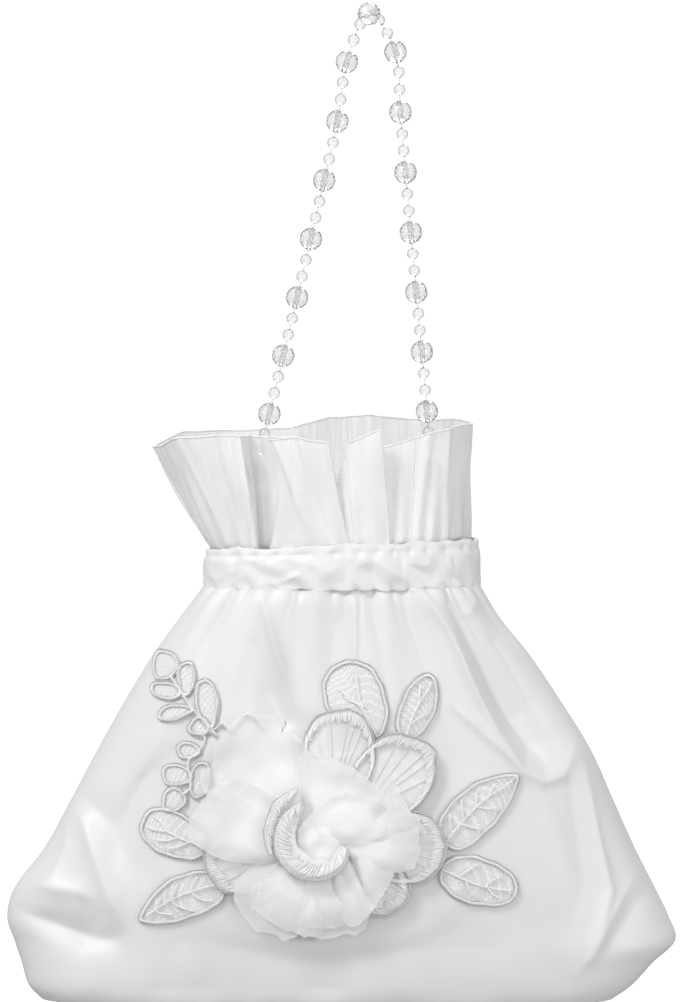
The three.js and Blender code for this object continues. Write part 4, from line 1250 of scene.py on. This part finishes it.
veins = [
    {"leaf": "leaf_top_round", "from": (0.02, 0.0), "to": (0.8, -0.5), "bow": 0.1},
    {"leaf": "leaf_top_round", "from": (0.02, 0.0), "to": (0.72, 0.42), "bow": -0.12},
    {"leaf": "leaf_top_round", "from": (0.4, -0.2), "to": (0.62, 0.32), "bow": 0.04},
    {"leaf": "leaf_top_round", "from": (0.3, 0.2), "to": (0.42, 0.8), "bow": 0.03},
    {"leaf": "leaf_top_oval", "from": (0.02, 0.0), "to": (0.5, 0.05), "bow": 0.06},
    {"leaf": "leaf_top_oval", "from": (0.5, 0.05), "to": (0.88, -0.35), "bow": 0.05},
    {"leaf": "leaf_top_oval", "from": (0.5, 0.05), "to": (0.78, 0.6), "bow": -0.05},
    {"leaf": "leaf_top_oval", "from": (0.22, 0.02), "to": (0.45, -0.7), "bow": 0.04},
    {"leaf": "leaf_right_upper", "from": (0.02, 0.0), "to": (0.95, 0.0), "bow": 0.07},
    {"leaf": "leaf_right_upper", "from": (0.14, 0.04), "to": (0.24, 0.85), "bow": 0.02},
    {"leaf": "leaf_right_upper", "from": (0.3, 0.08), "to": (0.42, 0.88), "bow": 0.02},
    {"leaf": "leaf_right_upper", "from": (0.47, 0.1), "to": (0.6, 0.8), "bow": 0.02},
    {"leaf": "leaf_right_upper", "from": (0.63, 0.08), "to": (0.75, 0.6), "bow": 0.02},
    {"leaf": "leaf_right_upper", "from": (0.25, 0.06), "to": (0.36, -0.8), "bow": -0.03},
    {"leaf": "leaf_right_upper", "from": (0.48, 0.08), "to": (0.62, -0.7), "bow": -0.03},
    {"leaf": "leaf_right_lower", "from": (0.02, 0.1), "to": (0.9, -0.05), "bow": -0.1},
    {"leaf": "leaf_right_lower", "from": (0.25, 0.0), "to": (0.42, 0.8), "bow": 0.03},
    {"leaf": "leaf_right_lower", "from": (0.32, -0.05), "to": (0.5, -0.8), "bow": -0.04},
    {"leaf": "leaf_right_lower", "from": (0.58, -0.1), "to": (0.74, 0.6), "bow": 0.03},
    {"leaf": "leaf_right_lower", "from": (0.6, -0.1), "to": (0.78, -0.62), "bow": -0.03},
    {"leaf": "leaf_left_upper", "from": (0.05, -0.1), "to": (0.62, 0.0), "bow": 0.04},
    {"leaf": "leaf_left_upper", "from": (0.25, -0.05), "to": (0.5, 0.8), "bow": 0.05},
    {"leaf": "leaf_left_upper", "from": (0.42, -0.02), "to": (0.7, 0.66), "bow": 0.05},
    {"leaf": "leaf_left_upper", "from": (0.2, -0.05), "to": (0.42, -0.85), "bow": -0.05},
    {"leaf": "leaf_left_upper", "from": (0.62, 0.0), "to": (0.86, -0.5), "bow": -0.04},
    {"leaf": "leaf_left_upper", "from": (0.62, 0.0), "to": (0.9, 0.3), "bow": 0.03},
    {"leaf": "leaf_left_lower", "from": (0.04, 0.0), "to": (0.9, -0.1), "bow": -0.06},
    {"leaf": "leaf_left_lower", "from": (0.2, 0.84), "to": (0.24, -0.8), "bow": -0.14},
    {"leaf": "leaf_left_lower", "from": (0.42, 0.86), "to": (0.46, -0.8), "bow": -0.14},
    {"leaf": "leaf_left_lower", "from": (0.66, 0.66), "to": (0.68, -0.62), "bow": -0.12},
]


def laid_net(outline, low, dome):
    """A ground of net inside an outline, a little higher in its middle."""
    middle = sum(outline, Vector((0, 0))) / len(outline)

    def place(u, v):
        edge = outline[round(u * len(outline)) % len(outline)]
        flat = middle.lerp(edge, v)
        return on_satin(flat.x, flat.y, low + dome * (1 - v * v))

    bm = sheet_mesh(len(outline), 8, place, joined=True)
    face_towards(bm, Vector((0, -1, 0)))
    return bm


def lay(line, height):
    return [on_satin(p.x, p.y, height) for p in line]


def inset(outline, middle, by):
    """The same outline, smaller by a width all round."""
    return [p + (middle - p).normalized() * by for p in outline]


# %% Leaf pieces
def stitched_border(bars, outline, wide, height, spacing=0.55, thick=0.5):
    """Short stitches side by side across a border that runs just inside an outline."""
    middle = sum(outline, Vector((0, 0))) / len(outline)
    line = resample(outline, spacing, closed=True)
    for n, p in enumerate(line):
        along = (line[(n + 1) % len(line)] - line[n - 1]).normalized()
        inward = Vector((-along.y, along.x))
        if inward.dot(middle - p) < 0:
            inward = -inward
        slant = along * 0.25
        ends = [p + inward * 0.15 - slant, p + inward * (wide + 0.25 * (n % 2)) + slant]
        stitch(bars, *lay(ends, height), thick)


def cord_pair(outline, wide, height):
    """The silver cords on both sides of a stitched border."""
    middle = sum(outline, Vector((0, 0))) / len(outline)
    outer = resample(outline, 0.42, closed=True)
    inner = resample(inset(outline, middle, wide), 0.42, closed=True)
    meshes = twisted_cord(lay(outer, height), 0.62, 1.6, closed=True)
    return meshes + twisted_cord(lay(inner, height), 0.42, 1.4, closed=True)


border = 1.25


def make_leaf(leaf):
    name = leaf["name"]
    outline = leaf_outline(leaf, 64)
    net = piece(name + "_net", laid_net(outline, 0.45, 0.4), leaf_tulle, replaces=[name])
    length, width = leaf["length"] * leaf_length, leaf["width"] * leaf_width
    piece(name + "_cord", join_meshes(cord_pair(outline, border + 0.2, 0.65)), silver_thread)
    ahead, aside = directions(leaf["turn"])
    stem = Vector((leaf["across"], leaf["up"])) * motif_reach
    meshes = []
    for vein in [row for row in veins if row["leaf"] == name]:
        line = []
        for n in range(9):
            s, w = (a + (b - a) * n / 8 for a, b in zip(vein["from"], vein["to"]))
            bow = vein["bow"] * math.sin(math.pi * n / 8)
            if abs(vein["to"][0] - vein["from"][0]) < 0.1:
                s -= bow
            else:
                w += bow * 2
            bend = leaf.get("bend", 0) * math.sin(math.pi * s)
            line.append(stem + ahead * length * s + aside * (w * max(leaf_half(leaf, s) - border, 1) + bend))
        meshes += twisted_cord(lay(resample(line, 0.5), 1.5), 0.8, 1.3)
    bm = join_meshes(meshes)
    stitched_border(bm, outline, border, 1.0)
    piece(name + "_stitches", bm, rayon_thread)


for leaf in leaves:
    make_leaf(leaf)

# %% [markdown]
# ## Sprigs
# Two smaller sprigs run up the left. Their leaflets are loops of the same border on a wavy stem of
# silver cord. The table gives each loop's middle in millimetres across and up from the rose's middle.

# %% Sprigs
fern_loops = [
    {"across": -54.8, "up": 60, "length": 11, "width": 9, "turn": 62},
    {"across": -47.4, "up": 56, "length": 12, "width": 6.8, "turn": 84},
    {"across": -54.2, "up": 51.6, "length": 11, "width": 6.8, "turn": 176},
    {"across": -50.9, "up": 44.6, "length": 12.6, "width": 5.8, "turn": 194},
    {"across": -40.2, "up": 48, "length": 16.5, "width": 8.2, "turn": 98},
    {"across": -43, "up": 40, "length": 8.4, "width": 6.8, "turn": 10},
]
fern_stem = [
    (-53, 56), (-49, 50), (-44.6, 44), (-38.6, 38.5), (-35.6, 40.6), (-32.4, 38.4), (-29.6, 41.6),
    (-27, 43.6), (-24, 42.4), (-22, 39),
]
curl_loops = [
    {"across": -46.6, "up": 31.8, "length": 9, "width": 6, "turn": 176},
    {"across": -50.4, "up": 23.2, "length": 11, "width": 8, "turn": 168},
    {"across": -42.8, "up": 21.6, "length": 13, "width": 8.4, "turn": 82},
    {"across": -51.8, "up": 14.6, "length": 9.4, "width": 8.4, "turn": 60},
]
curl_stem = [(-49, 16), (-46, 19), (-47, 27), (-43, 31), (-41, 35.6), (-44, 36.6), (-39.4, 38), (-37, 36.4)]


def loop_outline(loop, count, seed):
    """An uneven ring of thread, narrower where it leaves the stem."""
    ahead, aside = directions(loop["turn"])
    points = []
    for n in range(count):
        angle = 2 * math.pi * n / count
        uneven = 1 + 0.16 * noise.noise((math.cos(angle) * 1.2, math.sin(angle) * 1.2, seed))
        length = ahead * loop["length"] / 2 * math.cos(angle)
        width = aside * loop["width"] / 2 * math.sin(angle) * (1 + 0.16 * math.cos(angle))
        points.append(Vector((loop["across"], loop["up"])) + (length + width) * uneven)
    return points


def make_sprig(name, loops, stem):
    nets, cords, bars = [], [], bmesh.new()
    for n, loop in enumerate(loops):
        outline = loop_outline(loop, 40, 3.7 * n)
        bm = laid_net(outline, 0.4 + 0.05 * n, 0.3)
        nets.append(loose_mesh("net", bm))
        cords += cord_pair(outline, border, 0.6 + 0.1 * n)
        stitched_border(bars, outline, 1.05, 0.85 + 0.1 * n)
    points = [Vector(p) for p in stem]
    line = resample([spline(points, n / 60) for n in range(61)], 0.42)
    cords += twisted_cord(lay(line, 1.0), 0.7, 1.6)
    join_meshes(twisted_cord(lay([p + Vector((0.35, 0.75)) for p in line], 1.1), 0.9, 1.4), bars)
    net = piece(name + "_net", join_meshes(nets), leaf_tulle, replaces=[name])
    piece(name + "_cord", join_meshes(cords), silver_thread)
    piece(name + "_stitches", bars, rayon_thread)


make_sprig("fern_sprig", fern_loops, fern_stem)
make_sprig("curl_sprig", curl_loops, curl_stem)

# %% [markdown]
# ## Embroidered petals
# Seven flat petals of net are cut in one piece. Each edge has a cord and inside it a rim of long, fine
# stitches that point at the rose's middle, and a few ribs of thread run in between. The chiffon
# hides their roots.

# %% Embroidered petals
base_petals = [
    {"turn": 81, "reach": 1.02, "spread": 25, "ribs": (-9, -5, -1.5, 6, 13)},
    {"turn": 45, "reach": 1.07, "spread": 25, "ribs": (-12, -6, -2, 4, 10)},
    {"turn": -2, "reach": 0.9, "spread": 27, "ribs": (-10, -5, 0, 3.5, 9)},
    {"turn": -37, "reach": 0.74, "spread": 22, "ribs": (-6, 0, 6)},
    {"turn": 255, "reach": 0.72, "spread": 24, "ribs": (-6, 0, 6)},
    {"turn": 190, "reach": 0.9, "spread": 26, "ribs": (-8, -2, 4, 10)},
    {"turn": 140, "reach": 0.8, "spread": 30, "ribs": (-8, 0, 8)},
]
petal_root = 0.5
base_low = 2.1
petal_tulle = tulle_material("petal_tulle", "#EFF0F0", 0.6, 0.9)


def petal_edge(petal, off):
    """How far a petal reaches at off degrees from its middle, in millimetres."""
    lobe = math.cos(min(1, abs(off) / petal["spread"]) * math.pi / 2) ** 0.5
    uneven = 1 + 0.045 * noise.noise((off * 0.09, petal["turn"], 1))
    uneven += 0.02 * noise.noise((off * 0.3, petal["turn"], 2))
    return (petal_root + (petal["reach"] * uneven - petal_root) * lobe) * rose_radius


def polar(angle, radius):
    return Vector((math.cos(math.radians(angle)), math.sin(math.radians(angle)))) * radius


def base_reach(angle):
    reaches = [petal_root * rose_radius]
    for petal in base_petals:
        off = (angle - petal["turn"] + 180) % 360 - 180
        reaches.append(petal_edge(petal, off))
    return max(reaches)


def base_place(u, v):
    flat = polar(360 * u, base_reach(360 * u) * v)
    return on_satin(flat.x, flat.y, base_low + 0.5)


bm = sheet_mesh(180, 12, base_place, joined=True)
face_towards(bm, Vector((0, -1, 0)))
rose_net = piece("rose_base_net", bm, petal_tulle, replaces=["rose_base"])

cords, bars, ribs = [], bmesh.new(), []
shake = random.Random(4)
for petal in base_petals:
    spread = petal["spread"]
    arc = [polar(petal["turn"] + off, petal_edge(petal, off)) for off in
           [spread * math.sin(math.pi / 2 * n / 40) for n in range(-40, 41)]]
    line = resample(arc, 0.42)
    cords += twisted_cord(lay(line, base_low + 1.0), 0.75, 1.7)
    for p in resample(arc, 0.78):
        inward = -p.normalized()
        side = Vector((-inward.y, inward.x)) * shake.uniform(-0.3, 0.3)
        long = 4.9 + shake.uniform(-1.0, 0.8)
        stitch(bars, *lay([p + inward * 0.35, p + inward * long + side], base_low + 1.15), 0.52)
    for off in petal["ribs"]:
        far = petal_edge(petal, off) - 4.2
        rib = [polar(petal["turn"] + off * s / far, s) for s in (rose_radius * 0.4, rose_radius * 0.55, far)]
        ribs += twisted_cord(lay(resample(rib, 0.6), base_low + 0.9), 0.48, 1.6)
piece("rose_base_cord", join_meshes(cords), silver_thread)
piece("rose_base_stitches", bars, rayon_thread)
piece("rose_base_ribs", join_meshes(ribs), rayon_thread)

# %% [markdown]
# ## Chiffon petals
# The loose petals are crepe-like chiffon: matt, thin enough that the edge of one shows through the
# next, and cut without a hem, so the edges flutter. Each lies one layer above or below its neighbours,
# lifts towards its edge and has soft creases that run out from its root.

# %% Chiffon
def chiffon_material(name, colour, cover):
    made, tree = new_material(name)
    place = add_node(tree, "ShaderNodeTexCoord")
    across = add_node(tree, "ShaderNodeUVMap", uv_map="UVMap")
    cloth = add_node(tree, "ShaderNodeSeparateXYZ", {0: across.outputs[0]})
    edge = add_node(
        tree, "ShaderNodeMapRange", {"Value": cloth.outputs["Y"], "From Min": 0.95, "From Max": 0.98}
    )
    crepe = add_node(
        tree, "ShaderNodeTexNoise", {"Vector": place.outputs["Object"], "Scale": 1 / (0.5 * MM), "Detail": 2.0}
    )
    cloud = add_node(
        tree, "ShaderNodeTexNoise", {"Vector": place.outputs["Object"], "Scale": 1 / (9 * MM), "Detail": 2.0}
    )
    thin = add_node(tree, "ShaderNodeMapRange", {
        "Value": cloth.outputs["Y"], "From Min": 0.55, "From Max": 1.0, "To Min": cover, "To Max": cover - 0.48,
    })
    alpha = add_node(
        tree, "ShaderNodeMath", {0: cloud.outputs[0], 1: 0.1, 2: thin.outputs[0]}, operation="MULTIPLY_ADD"
    )
    firm = add_node(
        tree, "ShaderNodeMath", {0: edge.outputs[0], 1: 0.05, 2: alpha.outputs[0]}, operation="MULTIPLY_ADD"
    )
    tint = add_node(tree, "ShaderNodeMix", {"Factor": crepe.outputs[0]}, data_type="RGBA")
    tint.inputs[6].default_value = linear(colour)
    tint.inputs[7].default_value = linear("#FCFCFB")
    low = add_node(tree, "ShaderNodeBump", {"Strength": 0.25, "Distance": 0.4 * MM, "Height": cloud.outputs[0]})
    bump = add_node(
        tree,
        "ShaderNodeBump",
        {"Strength": 0.3, "Distance": 0.04 * MM, "Height": crepe.outputs[0], "Normal": low.outputs[0]},
    )
    close_material(
        tree,
        {
            "Base Color": tint.outputs[2],
            "Alpha": firm.outputs[0],
            "Roughness": 0.75,
            "Sheen Weight": 0.6,
            "Normal": bump.outputs[0],
        },
    )
    return made


chiffon = chiffon_material("soft_chiffon", "#FDFDFD", 0.9)
chiffon_petals = [
    {"number": 1, "reach": 1.1, "width": 0.8, "turn": 132, "layer": 0, "puff": 1, "crease": 0.35},
    {"number": 3, "reach": 0.8, "width": 0.6, "turn": 227, "layer": 0.1, "puff": 0.8, "crease": -0.3,
     "ply": "under"},
    {"number": 4, "reach": 0.7, "width": 0.6, "turn": 277, "layer": 0, "puff": 0.8, "crease": 0.3},
    {"number": 4, "reach": 0.62, "width": 0.5, "turn": 266, "layer": 0.4, "puff": 1, "crease": -0.2,
     "ply": "over"},
    {"number": 3, "reach": 0.72, "width": 0.56, "turn": 238, "layer": 0.7, "puff": 1, "crease": 0.25},
    {"number": 5, "reach": 0.62, "width": 0.56, "turn": 290, "layer": 0.9, "puff": 0.9, "crease": 0.5},
    {"number": 2, "reach": 0.97, "width": 0.6, "turn": 165, "layer": 1.1, "puff": 0.9, "crease": -0.35},
    {"number": 6, "reach": 0.57, "width": 0.84, "turn": -30, "layer": 1.6, "puff": 1, "crease": -0.5},
    {"number": 7, "reach": 0.7, "width": 0.7, "turn": 16, "layer": 1.8, "puff": 1, "crease": 0.2,
     "ply": "under"},
    {"number": 7, "reach": 0.6, "width": 1.02, "turn": 57, "layer": 2.1, "puff": 1, "crease": 0.3},
]
petal_start = 0.12
fold_line = (Vector((6.5, 0)), Vector((16.5, -21)))  # where petal 6 folds over, from the cup downwards
chiffon_low = 3.7
layer_step = 1.15


def petal_outline(petal, count, seed):
    """A chiffon petal's edge, which is cut by hand and so a little uneven."""
    ahead, aside = directions(petal["turn"])
    points = []
    for n in range(count):
        angle = 2 * math.pi * n / count
        along = petal_start + (petal["reach"] - petal_start) * ((1 - math.cos(angle)) / 2) ** 0.62
        half = petal["width"] / 2 * signed_power(math.sin(angle), 0.7)
        uneven = 1 + 0.09 * noise.noise((math.cos(angle) * 1.3, math.sin(angle) * 1.3, seed))
        uneven += 0.035 * noise.noise((math.cos(angle) * 4, math.sin(angle) * 4, seed))
        points.append((ahead * along + aside * half) * rose_radius * uneven)
    return points


def make_petal(petal, seed):
    """One ply of chiffon. It swells between its root and its edge, and one soft crease runs along it."""
    count = 160 if petal["number"] in (5, 6) else 120
    outline = petal_outline(petal, count, seed)
    root = polar(petal["turn"], petal_start * rose_radius * 1.3)

    def place(u, v):
        n = round(u * count) % count
        flat = root.lerp(outline[n], v)
        away = flat.length / rose_radius
        angle = math.degrees(math.atan2(flat.y, flat.x))
        aside = math.sin(math.radians(angle - petal["turn"]))
        crease = -0.5 * math.exp(-(((aside - petal["crease"]) / 0.09) ** 2))
        crease *= math.sin(math.pi * min(1, v * 1.05))
        swell = petal["puff"] * math.sin(math.pi * min(1, v ** 0.8 * 1.02))
        soft = 1.0 * noise.noise((flat.x / 11, flat.y / 11, seed * 5)) * v
        flutter = 0.7 * noise.noise((flat.x / 6, flat.y / 6, seed)) * v ** 5
        height = chiffon_low + petal["layer"] * layer_step + 0.5 + 1.2 * away * away
        if petal["number"] in (5, 6):
            run = fold_line[1] - fold_line[0]
            share = (flat - fold_line[0]).dot(run) / run.length_squared
            across = run.cross(flat - fold_line[0]) / run.length
            if 0 < share < 1.1:
                fade = math.sin(math.pi * min(1, share * 0.8 + 0.2)) ** 0.5
                crease -= 3.6 * fade * math.exp(-abs(across) / 0.75)
        return on_satin(flat.x, flat.y, height + swell + crease + soft + flutter)

    bm = sheet_mesh(count, count // 4, place, joined=True)
    face_towards(bm, Vector((0, -1, 0)))
    node = f"chiffon_petal_{petal['number']}"
    name = f"{node}_{petal.get('ply', 'cloth')}"
    made = piece(name, bm, chiffon, replaces=[] if "ply" in petal else [node])


for seed, petal in enumerate(chiffon_petals, 1):
    make_petal(petal, seed)

# %% [markdown]
# ## The rose's middle
# An embroidered petal is rolled into a cup that is open at the upper right. It leans outwards, so its
# long stitches show as a crescent, and its end runs on as a second, outer crescent at the upper left.
# In the cup sits a roll of chiffon, and a small chiffon petal opens from it to the upper right.

# %% The coil
coil_middle = Vector((-1.5, 1.8))
coil_low = chiffon_low + 3 * layer_step
coil_bands = [
    {"band": "cup", "from": -12, "to": -246, "outer": 9.6, "swell": 5.8, "wide": 8.4, "low": 1.8,
     "high": 3},
    {"band": "outer", "from": -166, "to": -248, "outer": 17.6, "swell": 2.6, "wide": 6, "low": 0.8,
     "high": 1.6},
]


def band_point(band, share, rise):
    """A point of a rolled band: rise runs from its foot by the middle to its corded rim."""
    angle = math.radians(band["from"] + (band["to"] - band["from"]) * share)
    ends = math.sin(math.pi * (0.06 + 0.9 * share)) ** 0.5
    outer = band["outer"] + band["swell"] * min(1, share * 1.5) ** 0.7
    wave = 0.5 * noise.noise((share * 7, rise, band["outer"]))
    radius = outer - band["wide"] * ends * (1 - rise) + wave
    height = coil_low + band["low"] + (band["high"] - band["low"]) * math.sin(rise * math.pi * 0.58) + wave
    flat = coil_middle + Vector((math.cos(angle), math.sin(angle))) * radius
    return on_satin(flat.x, flat.y, height)


nets, cords, whips, bars = [], [], [], bmesh.new()
for band in coil_bands:
    bm = sheet_mesh(110, 10, lambda u, v: band_point(band, u, v))
    face_towards(bm, Vector((0, -1, 0)))
    nets.append(loose_mesh("band", bm))
    rim = resample([band_point(band, n / 160, 1) for n in range(161)], 0.42)
    cords += twisted_cord(rim, 0.8, 1.9)
    whips += twisted_cord(resample([band_point(band, n / 160, 0.9) for n in range(161)], 0.42), 1.0, 1.5)
    count = round(abs(band["to"] - band["from"]) * (0.34 if band["band"] == "cup" else 0.5))
    for n in range(count):
        share = (n + 0.5) / count
        foot = 0.15 + 0.3 * shake.random()
        stitch(bars, band_point(band, max(0, share - 0.05), foot), band_point(band, share, 0.94), 0.62, 0.55)
coil = piece("rose_coil_net", join_meshes(nets), petal_tulle, replaces=["rose_coil"])
piece("rose_coil_cord", join_meshes(cords), silver_thread)
piece("rose_coil_stitches", join_meshes(whips, bars), rayon_thread)

# %% The bud
bud_radius = 9


def bud_place(u, v):
    """The roll, a soft uneven mound."""
    angle = 2 * math.pi * u
    out = Vector((math.cos(angle), math.sin(angle))) * v
    dome = 1.8 * math.sqrt(max(0, 1 - (v * 0.98) ** 2))
    soft = 0.9 * noise.noise((out.x * 1.8, out.y * 1.8, 3))
    flat = coil_middle + Vector((0.8, 0.5)) + Vector((out.x * 0.92, out.y * 1.05)) * bud_radius
    return on_satin(flat.x, flat.y, coil_low + 0.6 + dome + soft)


bm = sheet_mesh(140, 40, bud_place, joined=True)
face_towards(bm, Vector((0, -1, 0)))
bud = piece("rose_bud_roll", bm, chiffon, replaces=["rose_bud"])


def bud_petal_place(u, v):
    """The small petal that opens to the upper right."""
    angle = 2 * math.pi * u
    wide, tall = 13.5 - 1.5 * math.sin(angle), 8.6 + 1.2 * math.cos(angle)
    uneven = 1 + 0.1 * noise.noise((math.cos(angle) * 1.5, math.sin(angle) * 1.5, 21))
    flat = Vector((8.5 + math.cos(angle) * wide * v * uneven, 10.2 + math.sin(angle) * tall * v * uneven))
    near = (flat - coil_middle).length
    height = coil_low + 0.7 + 2.0 * math.exp(-((near / 11) ** 2)) + 0.3 * (1 - v * v)
    return on_satin(flat.x, flat.y, height + 1.2 * noise.noise((flat.x / 6, flat.y / 6, 12)) * v)


bm = sheet_mesh(110, 24, bud_petal_place, joined=True)
face_towards(bm, Vector((0, -1, 0)))
bud_petal = piece("rose_bud_petal", bm, chiffon)
